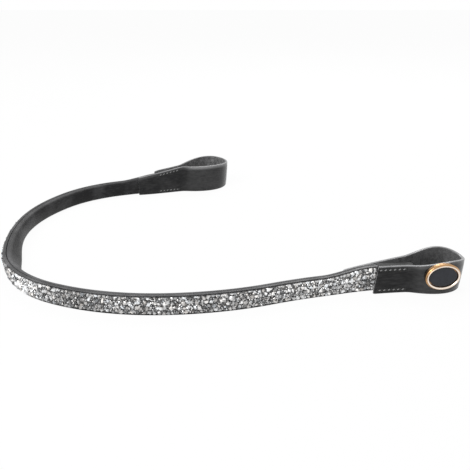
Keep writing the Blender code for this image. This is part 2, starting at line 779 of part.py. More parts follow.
def make_badge(near_strap):
    cup_back = LAYER_GAP
    cup_front = cup_back + BADGE_WALL
    rim_back = cup_front + LAYER_GAP
    plate_front = -deepest_face() - LAYER_GAP
    plate_back = plate_front - BACK_PLATE_WALL

    cup_shape = oval_plate(BADGE_LENGTH, BADGE_WIDTH, cup_back, cup_front)
    cup = add_mesh("badge_cup", cup_shape, "near_loop", "badge_brass", SHARP_DEG)
    boolean(cup, make_posts("post_shape", POST_RADIUS, plate_back, (cup_back + cup_front) / 2), "UNION")

    plate_shape = oval_plate(BACK_PLATE_LENGTH, BACK_PLATE_WIDTH, plate_back, plate_front)
    plate = add_mesh("badge_back_plate", plate_shape, "near_loop", "badge_steel", SHARP_DEG)
    hole = POST_RADIUS + POST_CLEARANCE
    holes = make_posts("post_holes", hole, plate_back - BADGE_WALL, cup_front)
    boolean(plate, holes, "DIFFERENCE")
    boolean(near_strap, holes, "DIFFERENCE")

    inner_length, inner_width = BADGE_LENGTH - 2 * BEZEL_WIDTH, BADGE_WIDTH - 2 * BEZEL_WIDTH
    middle_length, middle_width = BADGE_LENGTH - BEZEL_WIDTH, BADGE_WIDTH - BEZEL_WIDTH
    shoulder = rim_back + BEZEL_HEIGHT * BEZEL_SHOULDER
    profile = (
        (BADGE_LENGTH, BADGE_WIDTH, rim_back),
        (BADGE_LENGTH, BADGE_WIDTH, shoulder),
        (middle_length, middle_width, rim_back + BEZEL_HEIGHT),
        (inner_length, inner_width, shoulder),
        (inner_length, inner_width, rim_back),
    )
    bm = bmesh.new()
    hoops = [[bm.verts.new(BADGE.place(x, z, d)) for x, z in oval(a, b)] for a, b, d in profile]
    for hoop, following in zip(hoops, hoops[1:] + hoops[:1]):
        for i in range(OVAL_SEGMENTS):
            j = (i + 1) % OVAL_SEGMENTS
            bm.faces.new((hoop[i], hoop[j], following[j], following[i]))
    add_mesh("badge_rim", bm, "near_loop", "badge_brass", SHARP_DEG)

    face_length, face_width = inner_length - 2 * LAYER_GAP, inner_width - 2 * LAYER_GAP
    face = oval_plate(face_length, face_width, rim_back, rim_back + ENAMEL_WALL)
    add_mesh("badge_face", face, "near_loop", "badge_enamel", SHARP_DEG)


def centre_on_origin():
    """Moves the root so that the origin lies under the middle of the bounding box."""
    bpy.context.view_layer.update()
    graph = bpy.context.evaluated_depsgraph_get()
    corners = []
    for obj in bpy.context.scene.objects:
        if obj.type == "MESH" and not obj.hide_render:
            shown = obj.evaluated_get(graph)
            corners += [shown.matrix_world @ Vector(corner) for corner in shown.bound_box]
    for axis in (0, 1):
        values = [corner[axis] for corner in corners]
        BODIES["brow"].location[axis] -= (min(values) + max(values)) / 2


clear_scene()
MATERIALS = make_materials()
BODIES, PLACES = make_bodies()
make_band()
STRAPS = make_ends()
make_badge(STRAPS["near"])
centre_on_origin()
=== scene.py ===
# %% [markdown]
# # Dressing a crystal browband
#
# A browband is the strap of a bridle that crosses the horse's forehead. The headpiece slides through
# the loop at either end of it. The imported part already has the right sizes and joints, so this lesson
# only gives it real surfaces: bent leather, loose crystal chips, waxed thread and metal. Every new
# piece is worked out in the frame's own metres, so nothing has to be fitted by eye.

# %% Load the frame
import json
import math

import bpy
import numpy as np
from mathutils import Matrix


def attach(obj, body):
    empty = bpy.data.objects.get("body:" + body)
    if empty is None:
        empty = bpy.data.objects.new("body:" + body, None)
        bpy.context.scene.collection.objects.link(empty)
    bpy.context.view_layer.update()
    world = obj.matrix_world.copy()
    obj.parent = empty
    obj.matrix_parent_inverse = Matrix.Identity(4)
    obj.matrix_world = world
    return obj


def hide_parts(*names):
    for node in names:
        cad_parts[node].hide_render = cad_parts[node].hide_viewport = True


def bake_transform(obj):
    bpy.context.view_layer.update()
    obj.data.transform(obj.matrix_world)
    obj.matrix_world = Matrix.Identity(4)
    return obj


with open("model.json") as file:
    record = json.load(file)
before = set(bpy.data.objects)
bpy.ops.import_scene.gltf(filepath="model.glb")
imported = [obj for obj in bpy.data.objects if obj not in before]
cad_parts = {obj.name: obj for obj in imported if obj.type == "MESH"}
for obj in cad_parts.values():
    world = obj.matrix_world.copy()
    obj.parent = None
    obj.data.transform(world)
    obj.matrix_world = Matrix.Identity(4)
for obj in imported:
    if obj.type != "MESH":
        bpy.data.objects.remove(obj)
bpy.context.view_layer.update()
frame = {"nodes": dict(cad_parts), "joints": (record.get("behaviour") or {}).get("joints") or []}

joints = {joint["name"]: joint for joint in frame["joints"]}

# %% [markdown]
# ## The middle line of the band
#
# The band lies in the bent U of a strap that was put down after use. Its middle line is a chain of
# arcs. It could be drawn as a Bezier curve, but a chain of arcs has a heading that changes evenly, so
# one interpolation gives the heading anywhere, and adding up small steps gives the place.

# %% The chain of arcs
MM = 0.001
ARC_LENGTH = 50.6 * MM
ARC_TURNS_DEG = (14, -22, -30, -47, -17, -28, -47)
LAST_ARC_LENGTH = 15 * MM
LAST_TURN_DEG = 8
START_HEADING_DEG = 189.5
RUN_ON = 40 * MM
LINE_STEP = 0.05 * MM
FLEX_DEPTH = 0.425 * MM

arc_ends = np.cumsum([0] + [ARC_LENGTH] * len(ARC_TURNS_DEG) + [LAST_ARC_LENGTH])
arc_headings = START_HEADING_DEG + np.cumsum((0,) + ARC_TURNS_DEG + (LAST_TURN_DEG,))
FRONT_LENGTH = arc_ends[-1]
NEAR_FLEX, FAR_FLEX = arc_ends[2], arc_ends[5]
MIDDLE = FRONT_LENGTH / 2
heading_before = START_HEADING_DEG - ARC_TURNS_DEG[0] * RUN_ON / ARC_LENGTH
knots = np.concatenate([[-RUN_ON], arc_ends, [FRONT_LENGTH + RUN_ON]])
knot_headings = np.radians(np.concatenate([[heading_before], arc_headings, arc_headings[-1:]]))
line_s = np.arange(-RUN_ON, FRONT_LENGTH + RUN_ON, LINE_STEP)
line_heading = np.interp(line_s, knots, knot_headings)
half_way = (line_heading[1:] + line_heading[:-1]) / 2
line_x = np.cumsum(np.concatenate([[0], np.cos(half_way)])) * LINE_STEP
line_y = np.cumsum(np.concatenate([[0], np.sin(half_way)])) * LINE_STEP


def place(s, u, z):
    """Points at distance s along the line, depth u out towards the crystals and height z.

    That is the line's own point, plus u times the direction square to its heading.
    """
    s, u, z = np.broadcast_arrays(s, u, z)
    heading = np.interp(s, line_s, line_heading)
    x = np.interp(s, line_s, line_x) - np.sin(heading) * u
    y = np.interp(s, line_s, line_y) + np.cos(heading) * u
    return np.stack([x, y, z], -1)


shift = np.array(joints["near_arm_flex"]["pos_m"]) - place(NEAR_FLEX, FLEX_DEPTH, 0)
line_x = line_x + shift[0]
line_y = line_y + shift[1]
miss = np.linalg.norm(place(FAR_FLEX, FLEX_DEPTH, 0) - joints["far_arm_flex"]["pos_m"])
print("band", round(FRONT_LENGTH / MM, 1), "mm, misses the far hinge by", round(miss / MM, 3), "mm")

# %% [markdown]
# ## Widths along the band
#
# Towards each end the padding runs out and the band flares, so that the folded strap can grip it.
# Both changes follow the same soft step, which starts and stops without a corner. In the sharp bend the
# foot of the band is pushed inwards, as padding is when it is squeezed. A bell curve along the band says
# how far, which keeps the push smooth without a simulation.

# %% Widths, heights and thinning
BAND_WIDTH = 9.2 * MM
LAP_WIDTH = 13.1 * MM
FLARED_WIDTH = 12.0 * MM
FLARE_FULL, FLARE_LENGTH = 2 * MM, 24 * MM
THINNING_FULL, THINNING_LENGTH = 16.6 * MM, 18 * MM
BEND_PLACE, BEND_SPREAD = 205 * MM, 30 * MM
BEND_LEAN, LEAN_PIVOT = 0.56, 4.0 * MM
FRONT_LEAN, PAD_DEPTH = 0.35, 2.6 * MM


def soft_step(share):
    """Rises from 0 to 1 with level ends: 3 share squared less 2 share cubed."""
    share = np.clip(share, 0, 1)
    return share * share * (3 - 2 * share)


def end_share(s, full, length):
    """1 within the full distance of either end, falling softly to 0 over the length after it."""
    inside = np.minimum(s, FRONT_LENGTH - s) - full
    return soft_step(1 - inside / length)


def half_width(s):
    """Half the plain width, plus half the flare times its share."""
    return (BAND_WIDTH + (FLARED_WIDTH - BAND_WIDTH) * end_share(s, FLARE_FULL, FLARE_LENGTH)) / 2


def middle_height(s):
    """Height of the middle line: half the band's width, going over to half a lap's at the ends."""
    return (BAND_WIDTH + (LAP_WIDTH - BAND_WIDTH) * end_share(s, FLARE_FULL, FLARE_LENGTH)) / 2


def padding_share(s):
    """1 where the band is padded, falling to 0 at its ends."""
    return 1 - end_share(s, THINNING_FULL, THINNING_LENGTH)


def stand(s, u, v):
    """Points of the standing band, v above its middle line, leaning in the sharp bend.

    The lean is the height above a pivot times a bell curve along the band, and more for the pad.
    """
    lean = BEND_LEAN * np.exp(-(((s - BEND_PLACE) / BEND_SPREAD) ** 2))
    squeeze = FRONT_LEAN + (1 - FRONT_LEAN) * soft_step(-u / PAD_DEPTH)
    return place(s, u + lean * squeeze * (v - LEAN_PIVOT), middle_height(s) + v)


print("half width", round(half_width(MIDDLE) / MM, 2), "to", round(half_width(0.0) / MM, 2), "mm")

# %% [markdown]
# ## From arrays to meshes
#
# Almost every piece here is a profile carried along a path. Blender could sweep it with a curve's
# bevel, but an array of rings keeps the places exact and lets the profile change on the way. A profile
# is a row of corners, and each corner is then rounded for all rings at once.

# %% Rounding the corners of a profile
CORNER_STEPS = 5


def round_corners(corners, radii, steps=CORNER_STEPS):
    """Replaces each corner by a curve that leaves one side and joins the next, a radius away.

    The curve is (1 - t)^2 start + 2 t (1 - t) corner + t^2 end, worked out for all rings at once.
    """
    before = np.roll(corners, 1, axis=1) - corners
    after = np.roll(corners, -1, axis=1) - corners
    reach = np.broadcast_to(radii, corners.shape[:2])[..., None]
    start = corners + before / np.linalg.norm(before, axis=-1, keepdims=True) * reach
    end = corners + after / np.linalg.norm(after, axis=-1, keepdims=True) * reach
    t = np.linspace(0, 1, steps)[None, None, :, None]
    start, corner, end = (points[:, :, None] for points in (start, corners, end))
    curve = (1 - t) ** 2 * start + 2 * t * (1 - t) * corner + t**2 * end
    return curve.reshape(len(corners), -1, 2)


unit_square = np.array(((0, 0), (1, 0), (1, 1), (0, 1)))[None]
print("a rounded square has", round_corners(unit_square, 0.2).shape[1], "points")

# %% [markdown]
# ## Closing the skin
#
# A closed skin is only a matter of numbering: each ring joins the next with quads, and the first and
# last rings are capped. Which way its faces look depends on which way the rings run. Blender can
# recalculate that, but the sign of the volume inside tells it at once for any number of skins.

# %% Skins over rings of points
SMOOTH_DEG = 40


def ring_faces(rings, points):
    """Quads between neighbouring closed rings, as rows of four vertex numbers."""
    number = np.arange(rings * points).reshape(rings, points)
    beside = np.roll(number, -1, axis=1)
    return np.stack([number[:-1], beside[:-1], beside[1:], number[1:]], -1).reshape(-1, 4)


def signed_volume(points, faces):
    """Volume under the faces, from the triple products of the triangles that fan out in each."""
    corners = points[faces]
    return np.sum(corners[:, :1] * np.cross(corners[:, 1:-1], corners[:, 2:])) / 6


def closed_mesh(name, points, groups, smooth_deg):
    """A mesh of several arrays of faces, turned outwards and smooth up to an angle."""
    points = points.reshape(-1, 3)
    if sum(signed_volume(points, faces) for faces in groups) < 0:
        groups = [faces[:, ::-1] for faces in groups]
    mesh = bpy.data.meshes.new(name)
    mesh.from_pydata(points.tolist(), [], [face for faces in groups for face in faces.tolist()])
    if smooth_deg:
        mesh.shade_smooth()
        mesh.set_sharp_from_angle(angle=math.radians(smooth_deg))
    return mesh


def skins(name, stacks, smooth_deg=SMOOTH_DEG):
    """One mesh of capped skins, each over its own stack of rings (skin, ring, point, xyz)."""
    count, rings, around = stacks.shape[:3]
    first = (np.arange(count) * rings * around)[:, None]
    quads = (first[:, :, None] + ring_faces(rings, around)).reshape(-1, 4)
    low = first + np.arange(around)[::-1]
    high = first + np.arange(around) + (rings - 1) * around
    return closed_mesh(name, stacks, [quads, low, high], smooth_deg)


print("two rings of four points make", len(ring_faces(2, 4)), "sides")

# %% [markdown]
# ## Pieces and their marks
#
# A mesh can keep a number for each of its points, such as how rubbed it is there, and its finish can
# read it. A painted texture could say the same, but it would need an unwrapped surface.


# %% Adding a piece to the scene
def give_attribute(mesh, name, values):
    """Keeps one number for each point of a mesh under a name."""
    layer = mesh.attributes.new(name, "FLOAT", "POINT")
    layer.data.foreach_set("value", np.ascontiguousarray(values, np.float32).ravel())


def add_piece(mesh, material):
    """Puts a mesh into the scene with its finish."""
    piece = bpy.data.objects.new(mesh.name, mesh)
    bpy.context.scene.collection.objects.link(piece)
    mesh.materials.append(material)
    print(mesh.name, len(mesh.polygons), "faces")
    return piece


# %% [markdown]
# ## Writing finishes as sums
#
# A finish is a small network of nodes. Wiring it by hand hides the thought behind it, so one class
# wraps an output socket and turns Python's own operators into Math nodes. Every other kind of node
# comes from its one method, which takes the settings first and then the values of the sockets.


# %% A socket that can be added up
class Wire:
    """An output socket of a node tree, or the bare tree, ready for arithmetic."""

    def __init__(self, tree, socket=None):
        self.tree = tree
        self.socket = socket

    def node(self, kind, settings, sockets, output=0):
        """A new node with its settings made, then its sockets linked or filled; gives one output."""
        made = self.tree.nodes.new(kind)
        for key, value in settings.items():
            setattr(made, key, value)
        for key, value in sockets.items():
            if isinstance(value, Wire):
                self.tree.links.new(value.socket, made.inputs[key])
            else:
                made.inputs[key].default_value = value
        return Wire(self.tree, made.outputs[output])

    def where(self):
        """Each point's own place in metres."""
        return self.node("ShaderNodeTexCoord", {}, {}, "Object")

    def attribute(self, name, output="Fac"):
        """What the mesh keeps under a name."""
        return self.node("ShaderNodeAttribute", {"attribute_name": name}, {}, output)

    def math(self, operation, *values):
        """A Math node on wires and numbers."""
        return self.node("ShaderNodeMath", {"operation": operation}, dict(enumerate(values)))

    def __add__(self, other):
        return self.math("ADD", self, other)

    def __sub__(self, other):
        return self.math("SUBTRACT", self, other)

    def __rsub__(self, other):
        return self.math("SUBTRACT", other, self)

    def __mul__(self, other):
        return self.math("MULTIPLY", self, other)

    __radd__ = __add__
    __rmul__ = __mul__


trial = bpy.data.materials.new("trial")
trial.use_nodes = True
doubled = 2 * Wire(trial.node_tree).attribute("edge")
print("2 * wire is a node of type", doubled.socket.node.type)
bpy.data.materials.remove(trial)

# %% [markdown]
# ## Words for finishes
#
# Every finish starts from Blender's own surface shader, mixes two colours by some share, adds noise of
# a real size in metres and tilts the surface a little. A few small functions name these steps, so that
# each finish below reads like a description.


# %% Helpers for finishes
def new_finish(name):
    """A material, its surface shader and a wire to start its network from."""
    made = bpy.data.materials.new(name)
    made.use_nodes = True
    return made, made.node_tree.nodes["Principled BSDF"], Wire(made.node_tree)


def connect(shader, **sockets):
    """Links wires to a shader's sockets and writes plain values on them."""
    for name, value in sockets.items():
        target = shader.inputs[name.replace("_", " ")]
        if isinstance(value, Wire):
            value.tree.links.new(value.socket, target)
        else:
            target.default_value = value


def mix_colours(share, first, second):
    """first where the share is 0, second where it is 1; a plain colour is three numbers."""
    first, second = (end if isinstance(end, Wire) else (*end, 1) for end in (first, second))
    return share.node("ShaderNodeMix", {"data_type": "RGBA"}, {0: share, 6: first, 7: second}, 2)


def shade(colour, gain):
    """A colour times a gain."""
    return tuple(gain * part for part in colour)


def grey(tone):
    """A colour of three equal parts."""
    return (tone, tone, tone)


def noise(start, vector, size, detail=2.0):
    """Soft random values from 0 to 1 with features of that size in metres."""
    sockets = {"Vector": vector, "Scale": 1 / size, "Detail": detail}
    return start.node("ShaderNodeTexNoise", {}, sockets, "Fac")


def bump(start, height, strength, depth):
    """Tilts the surface as if the height rose by that depth in metres."""
    sockets = {"Strength": strength, "Distance": depth, "Height": height}
    return start.node("ShaderNodeBump", {}, sockets, "Normal")


print("shade halves a colour:", shade((0.4, 0.4, 0.2), 0.5))

# %% [markdown]
# ## Leather
#
# The band is black calf leather. Close up, leather is a net of shallow creases round small cushions,
# with pores on top and a tone that drifts from place to place. A Voronoi texture's distance to its
# cell edges gives the net, and noise gives the rest. A picture of a hide could be laid on instead, but
# it would repeat and need an unwrapped surface. Edges rub paler first, and the same paler tone also
# stands for painted highlights and painted sheen where light catches them, so a point attribute marks
# them.
# The underside of a strap is the flesh side: matte, fibrous and greyer.

# %% How leather is built up
DRIFT_SIZE, SCUFF_SIZE = 12 * MM, 3 * MM
FIBRE_SIZE, CLUMP_SIZE = 0.45 * MM, 2 * MM
SCUFF_STRETCH = (1, 1, 4)
PORE_SHARE, PORE_HEIGHT, CREASE_SHARP = 0.35, 0.35, 6
PATCH_DRIFT, PATCH_SCUFF, PATCH_START, PATCH_EASE = 3, 2, 2.2, 0.2
EDGE_BASE = 0.3
SCUFF_DULL, CREASE_DULL, NAP_DULL = 0.2, 0.1, 0.3
GRAIN_STRENGTH = 0.35
FIBRE_GAIN, FIBRE_LOSS = 1.8, 0.9
NAP_DARK, NAP_LIGHT, NAP_HEIGHT = 0.1, 1.9, 2
WAX_BASE, WAX_POLISH, WAX_SCUFF, WAX_LOSS = 0.11, 0.55, 0.6, 0.2
WAX_ROUGHNESS = 0.2


def leather(name, colour, worn_and_lit, patchy, dullness, grain, relief, glance, flesh=None):
    """Creased grain cells, drifting tone, edges paler from rubbing and painted highlight and, if asked, a
    flesh side.
    """
    made, shader, start = new_finish(name)
    where = start.where()
    drift = noise(start, where, DRIFT_SIZE, detail=3.0)
    stretched = start.node("ShaderNodeMapping", {}, {"Vector": where, "Scale": SCUFF_STRETCH})
    scuffs = noise(start, stretched, SCUFF_SIZE, detail=5.0)
    pores = noise(start, where, grain * PORE_SHARE)
    net = {"Vector": where, "Scale": 1 / grain}
    cells = start.node("ShaderNodeTexVoronoi", {"feature": "DISTANCE_TO_EDGE"}, net, "Distance")
    creases = 1 - start.math("MINIMUM", cells * CREASE_SHARP, 1)
    edge = start.attribute("edge")
    marks = drift * PATCH_DRIFT + scuffs * PATCH_SCUFF - PATCH_START
    patches = start.math("SMOOTH_MAX", marks, 0, PATCH_EASE)
    # The edge mark paints edges paler: partly rubbing, partly a painted highlight and painted sheen.
    tone = start.math("MINIMUM", edge * (drift + EDGE_BASE) + patches * patchy, 1)
    paint = mix_colours(tone, colour, worn_and_lit)
    dull = dullness + scuffs * SCUFF_DULL + creases * CREASE_DULL
    height = pores * PORE_HEIGHT - creases + scuffs
    if flesh:
        inside = start.attribute("flesh")
        fibres = noise(start, where, FIBRE_SIZE, detail=6.0) * FIBRE_GAIN
        fibres = fibres + noise(start, where, CLUMP_SIZE) - FIBRE_LOSS
        nap = mix_colours(fibres, shade(flesh, NAP_DARK), shade(flesh, NAP_LIGHT))
        paint = mix_colours(inside, paint, nap)
        dull = dull + inside * NAP_DULL
        height = height + inside * (fibres * NAP_HEIGHT)
        polish = WAX_BASE + start.attribute("polish") * WAX_POLISH
        wax = start.math("MAXIMUM", polish + scuffs * WAX_SCUFF - WAX_LOSS, 0) * (1 - inside)
        connect(shader, Coat_Weight=wax, Coat_Roughness=WAX_ROUGHNESS)
    connect(shader, Base_Color=paint, Roughness=dull, Specular_IOR_Level=glance)
    connect(shader, Normal=bump(start, height, strength=GRAIN_STRENGTH, depth=relief))
    return made


print("leather drifts over", DRIFT_SIZE / MM, "mm and is scuffed every", SCUFF_SIZE / MM, "mm")

# %% [markdown]
# ## Four leathers
#
# The channel, the lining, the folded straps and the end tabs are cut from different hides. The lining
# is softer with a coarser grain, the straps are waxed, and the tabs are raw stiff leather. One function
# with a few measures for each hide serves for all four.

# %% The hides
front_leather = leather(
    "front_leather",
    colour=(0.012, 0.012, 0.0125),
    worn_and_lit=(0.25, 0.25, 0.255),
    patchy=0.2,
    dullness=0.3,
    grain=0.42 * MM,
    relief=0.05 * MM,
    glance=0.27,
)
lining_leather = leather(
    "lining_leather",
    colour=(0.01, 0.01, 0.0105),
    worn_and_lit=(0.1, 0.1, 0.103),
    patchy=0.35,
    dullness=0.33,
    grain=0.6 * MM,
    relief=0.07 * MM,
    glance=0.16,
)
strap_leather = leather(
    "strap_leather",
    colour=(0.009, 0.009, 0.0095),
    worn_and_lit=(0.3, 0.3, 0.305),
    patchy=0.06,
    dullness=0.26,
    grain=0.5 * MM,
    relief=0.05 * MM,
    glance=0.12,
    flesh=(0.16, 0.16, 0.162),
)
tab_leather = leather(
    "tab_leather",
    colour=grey(0.012),
    worn_and_lit=grey(0.05),
    patchy=0.5,
    dullness=0.5,
    grain=0.3 * MM,
    relief=0.08 * MM,
    glance=0.27,
)
print("leathers", [made.name for made in (front_leather, lining_leather, strap_leather, tab_leather)])

# %% [markdown]
# ## The layers that bend at the brow
#
# A real browband bends all along. The frame bends at two hinges, where the near and the far arm join
# the brow, so each layer is made in two skins that meet in the middle of the brow, one round each
# hinge. The near one also stands for the brow's solids.

# %% One layer in two skins
RING_STEP = 0.9 * MM
BEND_REACH = 24 * MM
HALVES = (("near", 0.0, MIDDLE, NEAR_FLEX), ("far", FRONT_LENGTH, MIDDLE, FAR_FLEX))
SECTIONS = {"near": ("near_arm", "brow"), "far": ("far_arm",)}


def bend_at_arm(piece, side, flex):
    """Bakes the piece's place into its mesh; the start and end of the bend round the hinge go unused."""
    reach = -BEND_REACH if side == "far" else BEND_REACH
    start, end = place(np.array([flex - reach, flex + reach]), FLEX_DEPTH, 0.0)
    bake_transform(piece)


def layer_halves(name, section, radii, material, nodes, edge_of=None, steps=CORNER_STEPS):
    """A profile of corners, rounded by radii that may depend on s, carried along both halves."""
    pieces = []
    for side, outer, inner, flex in HALVES:
        s = np.linspace(outer, inner, int(abs(inner - outer) / RING_STEP))
        profile = round_corners(section(s), radii(s) if callable(radii) else radii, steps)
        rings = stand(s[:, None], profile[..., 0], profile[..., 1])
        mesh = skins(f"{name}_{side}", rings[None])
        if edge_of:
            give_attribute(mesh, "edge", edge_of(profile, s))
        piece = add_piece(mesh, material)
        bend_at_arm(piece, side, flex)
        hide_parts(*(f"{node}_{body}" for node in nodes for body in SECTIONS[side]))
        pieces.append(piece)
    return pieces


print(int(MIDDLE / RING_STEP), "rings in each half, turning within", BEND_REACH / MM, "mm of the hinge")

# %% [markdown]
# ## The front channel
#
# The crystals lie in a shallow leather channel with a rolled rim above and below. The rim's crest is
# the part that catches the light, so its corners are well rounded, and the upper crest is painted paler,
# partly as rub wear and partly as a painted highlight, most where the band flares. It could be a box
# with two beads laid on it, but one profile keeps floor and rims a single hide.

# %% The channel and its rims
RIM_WIDTH = 0.45 * MM
FRONT_BACK, FRONT_FLOOR, RIM_TOP = 0.55 * MM, 1.05 * MM, 2.0 * MM
CREST_DEPTH = 0.5 * MM
RIM_RUB_AND_HIGHLIGHT, FLARE_RUB_AND_HIGHLIGHT = 0.4, 0.9
# Beyond the bend the paler edge marks fade to a third: painted shade on the far arm.
PAINTED_SHADE_START, PAINTED_SHADE_FADE, FAR_RUB_AND_LIGHT = 170 * MM, 50 * MM, 0.33


def columns(*values):
    """Stacks numbers and arrays side by side, each stretched to the same length."""
    return np.stack(np.broadcast_arrays(*values), -1)


def channel_section(s):
    """Corners (depth, height) of a floor with a rim along each edge."""
    half = half_width(s)
    inside = half - RIM_WIDTH
    rim = (FRONT_BACK, RIM_TOP, RIM_TOP, FRONT_FLOOR)
    height = columns(-half, -half, -inside, -inside, inside, inside, half, half)
    return np.stack(np.broadcast_arrays(rim + rim[::-1], height), -1)


def rub_and_light_share(s):
    """Share of the paler edge marks: full on the front, a third beyond the bend, as painted shade there.
    """
    return 1 - (1 - FAR_RUB_AND_LIGHT) * soft_step((s - PAINTED_SHADE_START) / PAINTED_SHADE_FADE)


def channel_edge(profile, s):
    """The upper rim's crest, paler from rubbing and painted highlight, most at the flare; the lower stays
    dark.
    """
    crest = soft_step((profile[..., 0] - RIM_TOP) / CREST_DEPTH + 1) * (profile[..., 1] > 0)
    rub_and_highlight = RIM_RUB_AND_HIGHLIGHT + FLARE_RUB_AND_HIGHLIGHT * end_share(s, FLARE_FULL, FLARE_LENGTH)
    return crest * (rub_and_light_share(s) * rub_and_highlight)[:, None]


RIM_RADII = np.array((0.2, 0.22, 0.22, 0.1, 0.1, 0.22, 0.22, 0.2)) * MM
layer_halves(
    "front_channel",
    channel_section,
    RIM_RADII,
    front_leather,
    nodes=("front_channel",),
    edge_of=channel_edge,
)

# %% [markdown]
# ## The padded lining
#
# Against the forehead lies a felt pad in soft leather, rolled round to meet the channel. A cloth
# simulation would swell it, but the pad is only 9 mm wide and tightly filled, so its crown is drawn
# straight into the profile: the back bows out in the middle, and the two long edges are full rounds.

# %% The lining and its pad
LINING_BACK, LINING_FRONT = -2.6 * MM, 0.3 * MM
PAD_FRONT = -0.75 * MM
LINING_WALL = 0.7 * MM
PAD_CROWN, EDGE_DROP, END_THINNING = 0.35 * MM, 0.6 * MM, 1.15 * MM
ROLLED_SHARE = 0.25


def lining_section(s):
    """Corners of a rolled U, as thick as the felt at its back, which bows out by the crown."""
    half = half_width(s)
    inside = half - LINING_WALL
    padding = padding_share(s)
    back = LINING_BACK + END_THINNING * (1 - padding) + EDGE_DROP * padding
    crown = back - (EDGE_DROP + PAD_CROWN) * padding
    front, pad = LINING_FRONT, PAD_FRONT
    depth = columns(front, back, crown, back, front, front, pad, pad, front)
    height = columns(-half, -half, 0, half, half, inside, inside, -inside, -inside)
    return np.stack([depth, height], -1)


def lining_edge(profile, s):
    """1 along the rolled edges of the front, less beyond the bend: paler from rubbing and painted
    highlight.
    """
    from_edge = 1 - np.abs(profile[..., 1]) / half_width(s)[:, None]
    return soft_step(1 - from_edge / ROLLED_SHARE) * rub_and_light_share(s)[:, None]


LINING_RADII = np.array((0.3, 1.25, 2.2, 1.25, 0.3, 0.25, 0.1, 0.1, 0.25)) * MM
PADDED_ROUND = np.array((0, 0.6, 0.3, 0.6, 0, 0, 0, 0, 0)) * MM


def lining_radii(s):
    """Rounds of the lining's corners, fuller where it is padded."""
    return LINING_RADII + PADDED_ROUND * padding_share(s)[:, None]


linings = layer_halves(
    "lining_pad",
    lining_section,
    lining_radii,
    lining_leather,
    nodes=("lining", "felt_pad"),
    edge_of=lining_edge,
    steps=7,
)

# %% [markdown]
# ## The layers inside
#
# Between pad and channel runs a woven strap that takes the pull, and under the crystals a tape with a
# bed of dark glue and crystal dust. The strap never shows, but it bends like the rest. The bed shows
# between the chips, so its grains are the cells of a Voronoi texture, each with a tone of its own.

# %% Webbing and glue
RIB_SIZE = 0.5 * MM
WAVES_PER_RIB = 0.31
RIB_SHARE, SPECK_SHARE = 0.6, 0.4
WEBBING_DULL, SPECK_DULL = 0.75, 0.2
WEAVE_DEPTH, GRAIN_DEPTH = 0.1 * MM, 0.2 * MM
GRIT_SIZE, DUST_SIZE = 0.35 * MM, 1.5 * MM
GLITTER_POWER, DUST_BASE = 3, 0.3
GLUE_DULL, DUST_DULL = 0.2, 0.4
strap_webbing, webbing_shader, start = new_finish("strap_webbing")
where = start.where()
pitch = {"Vector": where, "Scale": WAVES_PER_RIB / RIB_SIZE}
ribs = start.node("ShaderNodeTexWave", {"bands_direction": "Z"}, pitch, "Fac")
speck = noise(start, where, RIB_SIZE)
paint = mix_colours(ribs * RIB_SHARE + speck * SPECK_SHARE, grey(0.025), grey(0.07))
weave = bump(start, ribs + speck, strength=0.5, depth=WEAVE_DEPTH)
connect(webbing_shader, Base_Color=paint, Roughness=WEBBING_DULL + speck * SPECK_DULL, Normal=weave)

glued_tape, glue_shader, start = new_finish("glued_tape")
where = start.where()
grit = start.node("ShaderNodeTexVoronoi", {}, {"Vector": where, "Scale": 1 / GRIT_SIZE}, "Color")
grit = start.node("ShaderNodeSeparateColor", {}, {"Color": grit}, "Red")
dust = noise(start, where, DUST_SIZE, detail=4.0)
glitter = start.math("POWER", grit, GLITTER_POWER) * (dust + DUST_BASE)
paint = mix_colours(glitter, (0.02, 0.02, 0.021), (0.5, 0.5, 0.505))
grains = bump(start, grit, strength=0.6, depth=GRAIN_DEPTH)
connect(glue_shader, Base_Color=paint, Roughness=GLUE_DULL + dust * DUST_DULL, Normal=grains)
print("finishes", strap_webbing.name, "and", glued_tape.name)

# %% [markdown]
# ## A strap and a tape
#
# Both are plain profiles carried along the band. The strap is a flat box of one size. The tape is as
# wide as the channel leaves it, and its front is arched, so that the chips lie highest in the middle.
# They could be left as the plain solids, but those are cut at the hinges and would gape there.

# %% Core strap and crystal tape
CORE_BACK, CORE_FRONT, CORE_HALF = -0.5 * MM, 0.3 * MM, 3.65 * MM
CORE_ROUND = 0.15 * MM
LAYER_GAP = 0.25 * MM
TAPE_BACK, TAPE_EDGE, TAPE_CROWN = 1.3 * MM, 2.1 * MM, 2.5 * MM
TAPE_RADII = np.array((0.1, 0.2, 2.4, 0.2, 0.1)) * MM


def tape_half(s):
    """Half the width of the crystals' bed, which fills the channel but for a gap along each rim."""
    return half_width(s) - RIM_WIDTH - LAYER_GAP


def core_section(s):
    """A flat box, repeated for every place."""
    depth = (CORE_BACK, CORE_FRONT, CORE_FRONT, CORE_BACK)
    height = (-CORE_HALF, -CORE_HALF, CORE_HALF, CORE_HALF)
    return np.broadcast_to(np.stack([depth, height], -1), (len(s), 4, 2))


def tape_section(s):
    """A flat back and an arched front of glue, on which the chips lie."""
    half = tape_half(s)
    depth = (TAPE_BACK, TAPE_EDGE, TAPE_CROWN, TAPE_EDGE, TAPE_BACK)
    height = columns(-half, -half, 0, half, half)
    return np.stack(np.broadcast_arrays(depth, height), -1)


layer_halves(
    "core_strap",
    core_section,
    CORE_ROUND,
    strap_webbing,
    nodes=("core_strap",),
    steps=4,
)
layer_halves(
    "crystal_tape",
    tape_section,
    TAPE_RADII,
    glued_tape,
    nodes=("crystal_carrier",),
    steps=6,
)

# %% [markdown]
# ## Crystal chips
#
# The channel is packed with crushed crystal: small chips with flat facets at all angles, some bright,
# some nearly black. Scattering one model with instances would repeat it, so all chips are worked out
# together. Each is three rings of six corners, its foot in the glue, its girdle and its table, with
# its own size, turn and tilt.

